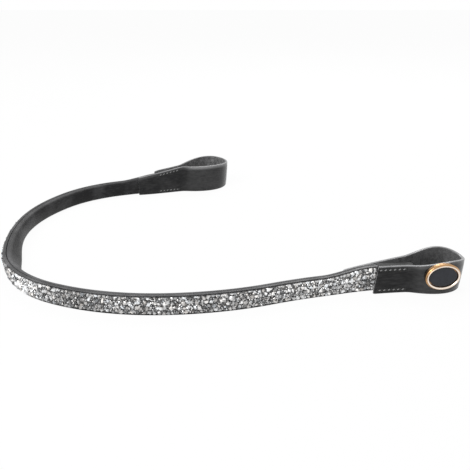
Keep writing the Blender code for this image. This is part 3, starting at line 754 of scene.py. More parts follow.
# %% The shape of a chip
CHIP_CORNERS = 6
CHIP_BED, CHIP_TOP = 1.9 * MM, 3.27 * MM
CHIP_EDGE, CHIP_CROWN = 0.35 * MM, 0.5 * MM
CORNER_JITTER, CORNER_REACH = 0.3, (0.78, 1.08)
NARROWING, TABLE_SHARE, RISE_SHARE = (0.55, 0.95), (0.4, 0.7), (0.3, 0.5)
TILT_MOST = 0.4
FOOT_SHARE, FOOT_DEPTH, FOOT_TILT = 0.85, 0.3 * MM, 0.3
GIRDLE_SHARE = 0.1


def chip_corners(s, v, size, chance):
    """Corner points of chips at (s, v): an uneven hexagon in three rings, turned and tilted."""
    count = len(s)
    shape, column = (count, CHIP_CORNERS), (count, 1)
    around = np.arange(CHIP_CORNERS) / CHIP_CORNERS * 2 * np.pi
    jitter = chance.uniform(-CORNER_JITTER, CORNER_JITTER, shape)
    angle = around + jitter + chance.uniform(0, np.pi, column)
    reach = size[:, None] * chance.uniform(*CORNER_REACH, shape)
    narrow = chance.uniform(*NARROWING, column)
    turn = chance.uniform(0, np.pi, column)
    long_way, short_way = reach * np.cos(angle), reach * np.sin(angle) * narrow
    x = long_way * np.cos(turn) - short_way * np.sin(turn)
    y = long_way * np.sin(turn) + short_way * np.cos(turn)
    table = chance.uniform(*TABLE_SHARE, column)
    tilt_x, tilt_y = chance.uniform(-TILT_MOST, TILT_MOST, (2, count, 1))
    rise = size[:, None] * chance.uniform(*RISE_SHARE, column)
    share = np.stack([np.full(column, FOOT_SHARE), np.ones(column), table], 1)
    lift = np.stack([np.full(column, -FOOT_DEPTH), GIRDLE_SHARE * rise, rise], 1)
    ring_x, ring_y = x[:, None] * share, y[:, None] * share
    half = tape_half(s)
    crown = CHIP_BED + CHIP_EDGE + CHIP_CROWN * (1 - (v / half) ** 2)
    level = np.array((FOOT_TILT, 1, 1))[None, :, None]
    slope = ring_x * tilt_x[:, None] + ring_y * tilt_y[:, None]
    depth = crown[:, None, None] + lift + level * slope
    limit = half[:, None, None]
    height = np.clip(v[:, None, None] + ring_y, -limit, limit)
    return s[:, None, None] + ring_x, np.minimum(depth, CHIP_TOP), height


print("a chip has", 2 * CHIP_CORNERS + 2, "facets")

# %% [markdown]
# ## The tones of the facets
#
# Each facet throws back a different part of the room, so chips differ in tone and so do their facets.
# Real refraction would give that too, but it needs long renders and is lost in an export. A colour
# attribute on the faces keeps these painted reflections in the mesh. Painted glints brighten the bed in
# some places along the band, and painted shade dulls it in others and along its foot, where the rim
# shades it.

# %% Painting the facets
DARK_SHARE, DARK_TONES = 0.15, (0.1, 0.22)
BRIGHT_SHARE, BRIGHT_TONES = 0.3, (0.8, 1.0)
GREY_TONES = (0.32, 0.7)
BELT_GAINS, TABLE_GAINS, FOOT_GAIN = (0.4, 1.2), (0.8, 1.25), 0.1
WARMTH, WARMTH_SPREAD = 0.004, 0.02
FOOT_SHADE = 0.3
# The bells are painted light: a positive gain is a painted glint, a negative gain is painted shade.
PAINTED_GLINTS_AND_SHADE = ((30, 25, 0.32), (142, 12, -0.3), (166, 7, 0.8), (193, 14, -0.5))


def chip_tones(count, chance):
    """One tone for each chip: some nearly black, some bright, most between."""
    pick = chance.uniform(0, 1, count)
    low = chance.uniform(*DARK_TONES, count)
    between = chance.uniform(*GREY_TONES, count)
    high = chance.uniform(*BRIGHT_TONES, count)
    return np.where(pick < DARK_SHARE, low, np.where(pick > 1 - BRIGHT_SHARE, high, between))


def painted_light(s, v):
    """Painted light on the crystals: bell curves of painted glints and painted shade, and painted shade at
    the foot.

    Each bell has a place and a spread in millimetres and a gain.
    """
    along = 1 + sum(gain * np.exp(-(((s / MM - spot) / spread) ** 2)) for spot, spread, gain in PAINTED_GLINTS_AND_SHADE)
    return along * (1 - FOOT_SHADE * soft_step(-v / tape_half(s)))


def paint_facets(mesh, s, v, chance):
    """One colour for each facet: its chip's tone, uneven from facet to facet, with a slight tint."""
    count, belts = len(s), 2 * CHIP_CORNERS
    light = chip_tones(count, chance) * painted_light(s, v)
    belt = light.repeat(belts) * chance.uniform(*BELT_GAINS, count * belts)
    table = light * chance.uniform(*TABLE_GAINS, count)
    tone = np.minimum(np.concatenate([belt, FOOT_GAIN * light, table]), 1.0)
    warm = chance.normal(WARMTH, WARMTH_SPREAD, count)
    warm = np.concatenate([warm.repeat(belts), warm, warm])
    colour = np.stack([tone * (1 + warm), tone, tone * (1 - warm), np.ones_like(tone)], -1)
    sizes = np.concatenate([np.full(count * belts, 4), np.full(2 * count, CHIP_CORNERS)])
    layer = mesh.attributes.new("facet", "FLOAT_COLOR", "CORNER")
    layer.data.foreach_set("color", colour.repeat(sizes, 0).astype(np.float32).ravel())


print("glow at the ends and in the middle", np.round(painted_light(np.array((0, MIDDLE, FRONT_LENGTH)), 0.0), 2))

# %% [markdown]
# ## The finish of the crystals
#
# Foiled crystal throws light back like a mirror from some facets and swallows it in others. The tone
# of each facet comes from its colour attribute. A smooth, partly metallic surface then adds real
# reflections on top, with a little haze so that they aren't all alike.

# %% Foiled crystal
HAZE_SIZE = 0.8 * MM
FACET_DULL, HAZE_DULL = 0.06, 0.16
FOIL_SHARE, CRYSTAL_IOR = 0.35, 1.6
foiled_crystal, crystal_shader, start = new_finish("foiled_crystal")
where = start.where()
facet = start.attribute("facet", "Color")
haze = noise(start, where, HAZE_SIZE)
connect(crystal_shader, Base_Color=facet, Roughness=FACET_DULL + haze * HAZE_DULL)
connect(crystal_shader, Metallic=FOIL_SHARE, IOR=CRYSTAL_IOR)
print("finish", foiled_crystal.name, "with", len(foiled_crystal.node_tree.nodes), "nodes")

# %% [markdown]
# ## Packing the channel
#
# A setter fills the channel with large chips first and then works small ones into the gaps. A particle
# system could scatter them, but it leaves heaps and holes. Here they start from an even grid, and
# each is moved, turned and sized by seeded chance, so that every run gives the same bed.

# %% The bed of chips
BIG_PITCH, BIG_ROWS, BIG_RADII = 2.0 * MM, 4, (0.85 * MM, 1.35 * MM)
SMALL_PITCH, SMALL_ROWS, SMALL_RADII = 1.2 * MM, 8, (0.35 * MM, 0.7 * MM)
LOW_ROW, HIGH_ROW = -0.82, 0.87
ALONG_JITTER, ACROSS_JITTER = 0.3, 0.25
SIZE_POWER = 0.7
FIRST_SEED = 11


def chip_places(outer, inner, pitch, rows, radii, chance):
    """A grid along the band, every other row set off by half a step, with each chip moved a little."""
    along = np.arange(min(outer, inner) + pitch / 2, max(outer, inner), pitch)
    s, share = np.meshgrid(along, np.linspace(LOW_ROW, HIGH_ROW, rows), indexing="ij")
    jitter = chance.uniform(-ALONG_JITTER, ALONG_JITTER, s.shape)
    s = s + (np.arange(rows) % 2) * pitch / 2 + jitter * pitch
    spread = tape_half(s) / tape_half(MIDDLE)
    size = chance.uniform(*radii, s.shape) * spread**SIZE_POWER
    v = share * tape_half(s) + chance.uniform(-ACROSS_JITTER, ACROSS_JITTER, s.shape) * pitch
    s = np.clip(s, min(outer, inner) + size, max(outer, inner) - size)
    return np.stack([s.ravel(), v.ravel(), size.ravel()])


for seed, (side, outer, inner, flex) in enumerate(HALVES):
    chance = np.random.default_rng(FIRST_SEED + seed)
    big = chip_places(outer, inner, BIG_PITCH, BIG_ROWS, BIG_RADII, chance)
    small = chip_places(outer, inner, SMALL_PITCH, SMALL_ROWS, SMALL_RADII, chance)
    s, v, size = np.concatenate([big, small], 1)
    mesh = skins("crystal_chips_" + side, stand(*chip_corners(s, v, size, chance)), smooth_deg=None)
    paint_facets(mesh, s, v, chance)
    chips = add_piece(mesh, foiled_crystal)
    bend_at_arm(chips, side, flex)
    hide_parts(*("crystal_bed_" + body for body in SECTIONS[side]))

# %% [markdown]
# ## One end of the band
#
# A folded strap grips each end of the band and opens into a loop for the headpiece. Each loop is a
# teardrop: its half width is a bulge times sin(a) sin(a / 2), on top of the gap between the two plies.
# A bent circle would be simpler, but it wouldn't narrow to the neck. The two ends share every formula
# and differ only in their measures, so a class keeps the measures of one end and its axes at the neck.

# %% Plies and teardrop
NECK_LENGTH = 14.5 * MM
LAP_WALL = 1.6 * MM
LAP_DEPTH, LAP_SPREAD = 0.9 * MM, 3.4 * MM


class LoopEnd:
    """One end of the band: x runs outwards along it and y towards the crystals."""

    def __init__(self, side, front, sign, outer_lap, inner_lap, loop, tip_shifts, wear_and_light):
        self.side, self.front, self.sign = side, front, sign
        self.nap, self.polish, self.painted_sheen = wear_and_light
        self.laps = {True: outer_lap, False: inner_lap}
        self.length, self.bulge, lean_deg, self.tip_width, self.arch = loop
        self.lean = math.tan(math.radians(lean_deg))
        self.low_shift, self.high_shift = tip_shifts
        neck = self.along_band(NECK_LENGTH)
        self.neck = place(neck, 0.0, 0.0)
        heading = np.interp(neck, line_s, line_heading)
        self.along = np.array((math.cos(heading), math.sin(heading), 0)) * sign
        self.out = np.array((-math.sin(heading), math.cos(heading), 0))

    def along_band(self, x):
        """Distance along the band of a place x beyond the end of its crystals."""
        return self.front + self.sign * x

    def at(self, x, y, z):
        """Points x past the neck, y towards the crystals and z above the floor."""
        x, y, z = (np.asarray(value)[..., None] for value in (x, y, z))
        return self.neck + self.along * x + self.out * y + np.array((0, 0, 1)) * z

    def loop_line(self, turn):
        """Middle of the strap's wall in (x, y), from the outer ply at turn 1 to the inner one at -1."""
        angle = np.pi * (1 - np.abs(turn))
        x = self.length * (1 - np.cos(angle)) / 2
        half = LAP_SPREAD * (1 + np.cos(angle)) / 2 + self.bulge * np.sin(angle) * np.sin(angle / 2)
        return x, LAP_DEPTH + np.copysign(half, turn) + self.lean * x

    def lap_height(self, x, outer):
        """Height of a ply's upper edge, which rises evenly from where the lap starts to the neck."""
        overlap, start, neck = self.laps[outer]
        return start + (neck - start) * np.clip((x + overlap) / (NECK_LENGTH + overlap), 0, 1)

    def loop_height(self, x, outer):
        """Height of the open strap: from its ply's at the neck to the tip's, plus a bow.

        The bow is the arch times 27 / 4 share^2 (1 - share), which peaks two thirds of the way along.
        """
        neck = np.where(outer, self.laps[True][2], self.laps[False][2])
        share = x / self.length
        return neck + (self.tip_width - neck) * share + self.arch * 27 / 4 * share**2 * (1 - share)


print("the plies lie", round((2 * LAP_SPREAD - LAP_WALL) / MM, 2), "mm apart")

# %% [markdown]
# ## The two loops as they lie
#
# One loop mirrored would be half the work, but the near one lies narrower and the far one wider open,
# and their plies end at different heights. A lap has its overlap on the band and its height at its
# start and at the neck. A loop has its length, bulge, lean, height at the tip and bow. A tip has the
# moves of its foot and its top, and the leather's wear and painted light is its nap, polish and sheen.
# The nap paints the flesh side, and its share per end also paints the near loop's inside darker with
# painted shade and the far one's lighter with painted light. The sheen is a painted highlight along
# the top.

# %% Near and far loop
NEAR_LAPS = ((2.3 * MM, LAP_WIDTH, 13.1 * MM), (15 * MM, 10.0 * MM, 15.2 * MM))
FAR_LAPS = ((5 * MM, LAP_WIDTH, 15.8 * MM), (15 * MM, 11.6 * MM, 16.6 * MM))
NEAR_LOOP = (27 * MM, 10 * MM, -8, 13.5 * MM, 2 * MM)
FAR_LOOP = (33.2 * MM, 15.5 * MM, 15, 15.3 * MM, 0.8 * MM)
NEAR_TIP, FAR_TIP = (-1.5 * MM, 0.2 * MM), (-0.7 * MM, 0.5 * MM)
# The nap shares also paint light: the near loop's inside darker with painted shade, the far one lighter.
NEAR_WEAR_AND_LIGHT, FAR_WEAR_AND_LIGHT = (0.37, 1.0, 0.4), (1.0, 0.7, 0.9)
ENDS = (
    LoopEnd("near", 0.0, -1, *NEAR_LAPS, NEAR_LOOP, NEAR_TIP, NEAR_WEAR_AND_LIGHT),
    LoopEnd("far", FRONT_LENGTH, 1, *FAR_LAPS, FAR_LOOP, FAR_TIP, FAR_WEAR_AND_LIGHT),
)
for end in ENDS:
    miss = np.linalg.norm(end.at(0.0, LAP_DEPTH, 0.0) - joints[end.side + "_loop_flex"]["pos_m"])
    print(end.side, "neck misses its hinge by", round(miss / MM, 3), "mm")

# %% [markdown]
# ## The strap's line
#
# The strap's middle line runs from the outer ply round the tip to the inner ply. Leather can't kink, so
# that line is averaged over a few millimetres, which turns the two corners at the neck into bends. A
# Bezier curve would be smooth too, but its handles would have to be set again whenever the loop changes.

# %% Easing the line
STRAP_STEP, STRAP_EASE = 0.4 * MM, 1.5 * MM
BELL_REACH = 4
LOOP_POINTS = 400


def run_along(line):
    """Distance from the first point, adding up the steps between neighbours."""
    return np.concatenate([[0], np.cumsum(np.linalg.norm(np.diff(line, axis=0), axis=1))])


def ease_line(line, width):
    """Evenly spaced points on a line, each averaged with its neighbours by a bell curve."""
    run = run_along(line)
    even = np.linspace(0, run[-1], int(run[-1] / STRAP_STEP))
    values = np.concatenate([line[:, :2], width[:, None]], 1)
    spaced = np.stack([np.interp(even, run, column) for column in values.T], -1)
    reach = int(BELL_REACH * STRAP_EASE / STRAP_STEP)
    bell = np.exp(-0.5 * (np.arange(-reach, reach + 1) * STRAP_STEP / STRAP_EASE) ** 2)
    lead = 2 * spaced[:1] - spaced[reach:0:-1]
    tail = 2 * spaced[-1:] - spaced[-2 : -reach - 2 : -1]
    padded = np.concatenate([lead, spaced, tail])
    eased = np.stack([np.convolve(column, bell / bell.sum(), "valid") for column in padded.T], -1)
    return eased[:, :2], eased[:, 2]


def strap_line(end):
    """Places on the strap's middle line, and the strap's height there, in even steps."""
    x_out = np.arange(-end.laps[True][0], NECK_LENGTH, STRAP_STEP)
    x_in = np.arange(NECK_LENGTH, -end.laps[False][0], -STRAP_STEP)
    turn = np.linspace(1, -1, LOOP_POINTS)[1:-1]
    x, y = end.loop_line(turn)
    outer = place(end.along_band(x_out), LAP_DEPTH + LAP_SPREAD, 0.0)
    inner = place(end.along_band(x_in), LAP_DEPTH - LAP_SPREAD, 0.0)
    line = np.concatenate([outer, end.at(x, y, 0 * x), inner])
    laps = end.lap_height(x_out, True), end.lap_height(x_in, False)
    return ease_line(line, np.concatenate([laps[0], end.loop_height(x, turn > 0), laps[1]]))


for end in ENDS:
    line, width = strap_line(end)
    print(end.side, "strap", round(run_along(line)[-1] / MM, 1), "mm long")

# %% [markdown]
# ## The strap's section
#
# A bridle maker rounds a strap's edges and presses a crease along each of them with a hot iron. Both
# go into the profile, with the crease a shallow notch. Bump could fake the crease, but it would be
# missing from the mesh. The strap's two cut ends are pared thin, so the grain side sinks towards the
# flesh side over the last millimetre, with a crease across too.

# %% The strap's profile
CREASE_INSET, CREASE_HALF, CREASE_DEEP = 0.8 * MM, 0.2 * MM, 0.12 * MM
FACE_LEVELS, FACE_BOWS = (2.2 * MM, 4.2 * MM), (0.1 * MM, 0.15 * MM)
HALF_RADII = (0.35, 0.45, 0.1, 0.1, 0.1, 0.6, 0.6)
STRAP_RADII = np.array(HALF_RADII + HALF_RADII[::-1]) * MM


def strap_profile(width, drop):
    """Corners (depth from the wall's middle, height): flesh side, creased edges and a bowed grain side."""
    face = LAP_WALL / 2 - drop
    lower = (-LAP_WALL / 2, face, face, face - CREASE_DEEP, face, *(face + bow for bow in FACE_BOWS))
    levels = (0, 0, CREASE_INSET - CREASE_HALF, CREASE_INSET, CREASE_INSET + CREASE_HALF, *FACE_LEVELS)
    depth = columns(*lower, *lower[::-1])
    height = columns(*levels, *(width - level for level in levels[::-1]))
    return np.stack(np.broadcast_arrays(depth, height), -1)


print("the profile has", strap_profile(np.array((LAP_WIDTH,)), 0.0).shape[1], "corners")

# %% [markdown]
# ## Folding the straps
#
# The profile stands upright on the eased line, square to it. A sheet with a Solidify modifier would be
# quicker, but its edges could be neither creased nor pared. Three marks go with the skin: the flesh
# side, the waxed polish of the open loop, and the edges, paler partly from rubbing and partly as a
# painted highlight, with a broad painted sheen along the top.

# %% The folded straps
END_CREASE, PARED_LENGTH, PARED_DROP = 1.5 * MM, 0.7 * MM, 0.5 * MM
NECK_REACH = 3.5 * MM
START_SLANT, SLANT_REACH = 1.9 * MM, 5 * MM
FLESH_DEPTH, FLESH_START = 0.5 * MM, 0.2
RUB_AND_HIGHLIGHT_REACH, PAINTED_SHEEN_REACH, POLISH_REACH = 0.45 * MM, 2.6 * MM, 6 * MM
LAP_PAINTED_SHEEN = 0.3


def past_neck(end, line):
    """How far points of the line lie past the neck, along the band."""
    return (line - end.neck[:2]) @ end.along[:2]


def tip_shift(end, line, level):
    """How far the strap's points move along the loop: in at the foot of the tip, a little out at its top.

    The move changes evenly from foot to top, and is taken times the share of the way to the tip.
    """
    reach = np.clip(past_neck(end, line) / end.length, 0, 1)[:, None]
    move = reach * (end.low_shift + (end.high_shift - end.low_shift) * level)
    return move[..., None] * end.along[:2]


for end in ENDS:
    line, width = strap_line(end)
    run = run_along(line)
    travel = np.gradient(line, axis=0)
    travel = travel / np.linalg.norm(travel, axis=1, keepdims=True)
    normal = np.stack([-travel[:, 1], travel[:, 0]], -1) * end.sign
    from_end = np.minimum(run, run[-1] - run)
    pared = PARED_DROP * np.clip(1 - from_end / PARED_LENGTH, 0, 1) ** 2
    across = CREASE_DEEP * np.exp(-(((from_end - END_CREASE) / CREASE_HALF) ** 2))
    profile = round_corners(strap_profile(width, pared + across), STRAP_RADII)
    flat = line[:, None] + normal[:, None] * profile[..., :1]
    level = profile[..., 1] / width[:, None]
    slant = START_SLANT * level * soft_step(1 - run / SLANT_REACH)[:, None]
    flat = flat + tip_shift(end, line, level) + slant[..., None] * travel[:, None]
    mesh = skins(end.side + "_strap", np.concatenate([flat, profile[..., 1:]], -1)[None])
    # Besides the flesh side, the nap share per end paints painted shade in the near loop, painted light in
    # the far.
    give_attribute(mesh, "flesh", end.nap * soft_step(-profile[..., 0] / FLESH_DEPTH - FLESH_START))
    open_share = np.broadcast_to(soft_step(past_neck(end, line) / POLISH_REACH)[:, None], level.shape)
    give_attribute(mesh, "polish", end.polish * open_share)
    # Edges paler partly from rubbing and partly as a painted highlight; a broad painted sheen along the
    # top.
    from_top = width[:, None] - profile[..., 1]
    rubbed_and_lit = soft_step(1 - np.minimum(profile[..., 1], from_top) / RUB_AND_HIGHLIGHT_REACH)
    opening = LAP_PAINTED_SHEEN + (1 - LAP_PAINTED_SHEEN) * open_share
    painted_sheen = end.painted_sheen * soft_step(1 - from_top / PAINTED_SHEEN_REACH) * opening
    give_attribute(mesh, "edge", np.maximum(rubbed_and_lit, painted_sheen))
    strap = add_piece(mesh, strap_leather)
    begin, finish = end.at(np.array((-NECK_REACH, NECK_REACH)), np.full(2, LAP_DEPTH), np.zeros(2))
    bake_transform(strap)
    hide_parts(*(end.side + word for word in ("_outer_lap", "_inner_lap", "_loop_strap")))

# %% [markdown]
# ## The tab between the plies
#
# Seen from above, the band's own layers end between the two plies, with a rounded nose where the loop
# turns. A plain block would do where nothing shows, but the top is open to view between the plies. The
# tab is a box carried along the band. Its top is notched between the layers, and its two faces close
# to a half round past the neck.

# %% End tabs
TAB_HALF = 2.35 * MM
TAB_LOW, TAB_START = 0.55 * MM, 0.2 * MM
NOTCHES, NOTCH_HALF, NOTCH_DEEP = (0.5, 0.0, -0.5), 0.05, 0.25 * MM
TAB_RINGS, NOSE_RINGS = 23, 12
NOSE_TURN = 0.49 * np.pi
TAB_SMOOTH_DEG = 30
TOP_REACH = 0.5 * MM


def tab_section(half):
    """Corners of a box of that half thickness, with a V notch along its top at each share of it."""
    mouths = np.add.outer(NOTCHES, (NOTCH_HALF, 0, -NOTCH_HALF)).ravel()
    dips = np.tile((0, NOTCH_DEEP, 0), len(NOTCHES))
    share = np.concatenate([(-1, 1, 1), mouths, (-1,)])
    rise = np.concatenate([(0, 0, FLARED_WIDTH), FLARED_WIDTH - dips, (FLARED_WIDTH,)])
    return LAP_DEPTH + half[:, None] * share, np.broadcast_to(TAB_LOW + rise, (len(half), len(rise)))


for end in ENDS:
    nose = np.linspace(0, NOSE_TURN, NOSE_RINGS)
    straight = np.linspace(TAB_START, NECK_LENGTH, TAB_RINGS, endpoint=False)
    x = np.concatenate([straight, NECK_LENGTH + TAB_HALF * np.sin(nose)])
    half = np.concatenate([np.full(TAB_RINGS, TAB_HALF), TAB_HALF * np.cos(nose)])
    depth, height = tab_section(half)
    rings = place(end.along_band(x)[:, None], depth, height)
    mesh = skins(end.side + "_tab", rings[None], TAB_SMOOTH_DEG)
    give_attribute(mesh, "edge", soft_step((height - FLARED_WIDTH) / TOP_REACH + 1))
    tab = add_piece(mesh, tab_leather)
    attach(tab, end.side + "_arm")
    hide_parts(end.side + "_end_tab")

# %% [markdown]
# ## Hand stitching
#
# Two rows of waxed thread hold each side of the strap. An awl makes slanted slits, and the thread
# goes down into each slit and comes up from the next, so the stitches lean. Each stitch is an arched
# spindle of thread, and each slit is a flat dimple at its end, painted near black as painted shade in
# the hole. A pattern in the leather's finish would be simpler, but it would lie flat when seen along
# the strap.

# %% Waxed thread
TWIST_TURNS = 40
TWIST_SHARE, FUZZ_SHARE = 0.6, 0.4
THREAD_DULL, FUZZ_DULL = 0.3, 0.3
FUZZ_SIZE, TWIST_DEPTH = 0.2 * MM, 0.08 * MM
thread, thread_shader, start = new_finish("waxed_thread")
where = start.where()
twist = start.math("SINE", start.attribute("lay") * TWIST_TURNS) * 0.5 + 0.5
fuzz = noise(start, where, FUZZ_SIZE)
cotton = mix_colours(twist * TWIST_SHARE + fuzz * FUZZ_SHARE, grey(0.08), grey(0.36))
# The slits are painted near black: painted shade inside the awl holes.
paint = mix_colours(start.attribute("painted_slit_shade"), cotton, grey(0.002))
strands = bump(start, twist, strength=0.5, depth=TWIST_DEPTH)
connect(thread_shader, Base_Color=paint, Roughness=THREAD_DULL + fuzz * FUZZ_DULL, Normal=strands)
print("finish", thread.name, "with", len(thread.node_tree.nodes), "nodes")

# %% [markdown]
# ## The shape of a stitch
#
# A stitch lies flat where it goes into the leather and arches in between. A curve with a bevel would
# make one, but both thread and slit are the same spindle with other measures, so one array of rings
# serves for all of them.

# %% Spindles
TIP_SHARE = 0.985


def spindles(count, long_half, radius, flat, rise, rings=9, around=8):
    """Closed spindles along x: rings shrink to the tips by a root, and the whole arches by a sine."""
    share = np.linspace(-TIP_SHARE, TIP_SHARE, rings)
    x = long_half * share
    girth = radius * np.sqrt(1 - share**4)
    angle = np.arange(around) / around * 2 * np.pi
    y = girth[:, None] * np.cos(angle)
    up = girth[:, None] * np.sin(angle) * flat + rise * np.cos(share * np.pi / 2)[:, None]
    grid = np.stack(np.broadcast_arrays(x[:, None], y, up), -1)
    return np.broadcast_to(grid, (count, *grid.shape))


print("a spindle has", spindles(1, 1.0, 0.2, 1.0, 0.1)[0, ..., 0].size, "points")

# %% [markdown]
# ## Laying the rows
#
# Each lap has a row near its upper edge and one near its lower edge. A row is laid out flat first, in
# distances along the band and heights, and then put on the ply's face, so it follows the band's bend.
# The lean is mirrored on the inner face, as it is on real saddle stitching.

# %% Stitch rows
STITCH_COUNT = 6
STITCH_PITCH = 2.25 * MM
LOW_INSET, HIGH_INSET = 1.8 * MM, 1.5 * MM
STITCH_LEAN = math.atan(0.4)
THREAD_HALF, THREAD_RADIUS = 0.63 * MM, 0.32 * MM
THREAD_FLAT, THREAD_RISE = 0.8, 0.18 * MM
SLIT_LEAN = math.radians(50)
SLIT_HALF, SLIT_RADIUS = 0.95 * MM, 0.5 * MM
SLIT_FLAT, SLIT_RISE = 0.3, 0.1 * MM
LAY_SLANT = 0.15
ALL_SMOOTH_DEG = 180
OUTER_FACE = LAP_DEPTH + LAP_SPREAD + LAP_WALL / 2
INNER_FACE = LAP_DEPTH - LAP_SPREAD - LAP_WALL / 2


def stitch_row(end, outer, upper):
    """A row of leaning stitches and the slits at their ends, laid on a ply's face."""
    threads = spindles(STITCH_COUNT, THREAD_HALF, THREAD_RADIUS, THREAD_FLAT, THREAD_RISE)
    slits = spindles(STITCH_COUNT + 1, SLIT_HALF, SLIT_RADIUS, SLIT_FLAT, SLIT_RISE)
    first = (NECK_LENGTH - end.laps[True][0] - STITCH_COUNT * STITCH_PITCH) / 2
    thread_x = first + (np.arange(STITCH_COUNT) + 0.5) * STITCH_PITCH
    slit_x = first + np.arange(STITCH_COUNT + 1) * STITCH_PITCH
    groups = np.concatenate([threads, slits])
    middle = np.concatenate([thread_x, slit_x])[:, None, None]
    is_slit = np.concatenate([np.zeros(STITCH_COUNT), np.ones(STITCH_COUNT + 1)])[:, None, None]
    lean = np.where(is_slit, SLIT_LEAN, STITCH_LEAN)
    along = groups[..., 0] * np.cos(lean) - groups[..., 1] * np.sin(lean)
    across = groups[..., 0] * np.sin(lean) + groups[..., 1] * np.cos(lean)
    x = middle + along
    level = end.lap_height(x, outer) - HIGH_INSET if upper else np.full(x.shape, LOW_INSET)
    face = OUTER_FACE + groups[..., 2] if outer else INNER_FACE - groups[..., 2]
    points = place(end.along_band(x), face, level - end.sign * across * (1 if outer else -1))
    row = ("outer" if outer else "inner") + ("_upper" if upper else "_lower")
    mesh = skins(f"{end.side}_thread_{row}", points, ALL_SMOOTH_DEG)
    give_attribute(mesh, "painted_slit_shade", np.broadcast_to(is_slit, x.shape))
    lay = groups[..., 0] / STITCH_PITCH + LAY_SLANT * groups[..., 1] / THREAD_RADIUS
    give_attribute(mesh, "lay", lay)
    return mesh, f"{end.side}_stitches_{row}"


for end in ENDS:
    for outer in (True, False):
        for upper in (True, False):
            mesh, node = stitch_row(end, outer, upper)
            row = add_piece(mesh, thread)
            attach(row, end.side + "_arm")
            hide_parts(node)

# %% [markdown]
# ## The metal of the badge
#
# The near loop carries an oval badge: a brass cup on two posts, a rolled rim and a plain enamel face.
# Polished brass is never one colour: tarnish drifts over it, fine scratches run along it, and the crest
# of the rim is paler, partly rubbed bright and partly a painted highlight. A plain metallic colour would
# look like plastic beside it.

# %% Metal and enamel
TARNISH_SIZE, TARNISH_SHADE = 3 * MM, 0.6
TARNISH_DULL, SCRATCH_DULL = 0.1, 0.08
CREST_GAIN, CREST_LOSS = 1.1, 0.4
SCRATCH_STRETCH, SCRATCH_DEPTH = (1, 1, 12), 0.02 * MM
CLOUD_SIZE, PEEL_SIZE, PEEL_DEPTH = 2.5 * MM, 0.8 * MM, 0.03 * MM
ENAMEL_DULL, PEEL_DULL = 0.16, 0.14


def metal(name, colour, crest, dullness, scratch):
    """Polished metal with fine scratches, tarnish that drifts, and a crest paler from rubbing and painted
    highlight.
    """
    made, shader, start = new_finish(name)
    where = start.where()
    tarnish = noise(start, where, TARNISH_SIZE, detail=3.0)
    lines = start.node("ShaderNodeMapping", {}, {"Vector": where, "Scale": SCRATCH_STRETCH})
    fine = noise(start, lines, scratch)
    paint = mix_colours(tarnish, colour, shade(colour, TARNISH_SHADE))
    paint = mix_colours(start.attribute("crest") * (CREST_GAIN - tarnish * CREST_LOSS), paint, crest)
    connect(shader, Base_Color=paint, Roughness=dullness + tarnish * TARNISH_DULL + fine * SCRATCH_DULL)
    connect(shader, Metallic=1.0, Normal=bump(start, fine, strength=0.12, depth=SCRATCH_DEPTH))
    return made


badge_brass = metal(
    "badge_brass",
    colour=(0.62, 0.36, 0.17),
    crest=(0.98, 0.88, 0.78),
    dullness=0.12,
    scratch=0.6 * MM,
)
badge_steel = metal(
    "badge_steel",
    colour=grey(0.5),
    crest=grey(0.7),
    dullness=0.28,
    scratch=0.4 * MM,
)
badge_enamel, enamel_shader, start = new_finish("badge_enamel")
where = start.where()
clouds = noise(start, where, CLOUD_SIZE, detail=3.0)
peel = noise(start, where, PEEL_SIZE)
paint = mix_colours(clouds, (0.005, 0.006, 0.01), (0.022, 0.025, 0.034))
connect(enamel_shader, Base_Color=paint, Roughness=ENAMEL_DULL + peel * PEEL_DULL, Specular_IOR_Level=0.4)
connect(enamel_shader, Normal=bump(start, peel, strength=0.08, depth=PEEL_DEPTH))
print("finishes", badge_brass.name, badge_steel.name, badge_enamel.name)

# %% [markdown]
# ## Where the badge sits
#
# The badge lies on the loop's outer ply, a little askew, as posts set by hand are. It could be turned
# by eye in the viewport, but its axes come from two neighbouring points of the loop's own line, so it
# stays on the leather. Its pieces are profiles carried round an ellipse. An inset takes the same amount
# off both half axes, which is how a rim of even width is drawn on an oval.

# %% The badge's own axes
BADGE_TURN = 0.505
BADGE_RAISE, BADGE_TILT = 1.75 * MM, math.radians(5)
BADGE_LENGTH, BADGE_WIDTH = 16.4 * MM, 12.4 * MM
NUDGE = 1e-4
LEAST_HALF = 0.1 * MM
near_end = ENDS[0]
turns = np.array((1 - BADGE_TURN + NUDGE, 1 - BADGE_TURN, 1 - BADGE_TURN - NUDGE))
badge_x, badge_y = near_end.loop_line(turns)
badge_line = near_end.at(badge_x, badge_y, 0 * badge_x)
level = badge_line[2] - badge_line[0]
level = level / np.linalg.norm(level)
upright = np.array((0, 0, 1))
badge_normal = np.array((level[1], -level[0], 0))
badge_right = level * math.cos(BADGE_TILT) + upright * math.sin(BADGE_TILT)
badge_up = upright * math.cos(BADGE_TILT) - level * math.sin(BADGE_TILT)
badge_level = near_end.loop_height(badge_x[1], True) / 2 + BADGE_RAISE
badge_middle = badge_line[1] + badge_normal * LAP_WALL / 2 + upright * badge_level


def round_oval(inset, depth, around=96):
    """Rings round the badge's ellipse, each taken in by its inset and raised by its depth."""
    angle = np.arange(around) / around * 2 * np.pi
    inset, depth = inset[:, None, None], depth[:, None, None]
    right = np.maximum(BADGE_LENGTH / 2 - inset, LEAST_HALF) * np.cos(angle)[:, None] * badge_right
    up = np.maximum(BADGE_WIDTH / 2 - inset, LEAST_HALF) * np.sin(angle)[:, None] * badge_up
    return badge_middle + right + up + depth * badge_normal


def oval_profile(corners, radii):
    """Rounded corners (inset, depth) in millimetres as two rows of metres."""
    return round_corners(np.array(corners)[None] * MM, np.array(radii) * MM)[0].T


print("badge", np.round(badge_middle, 4), "faces", np.round(badge_normal, 3))

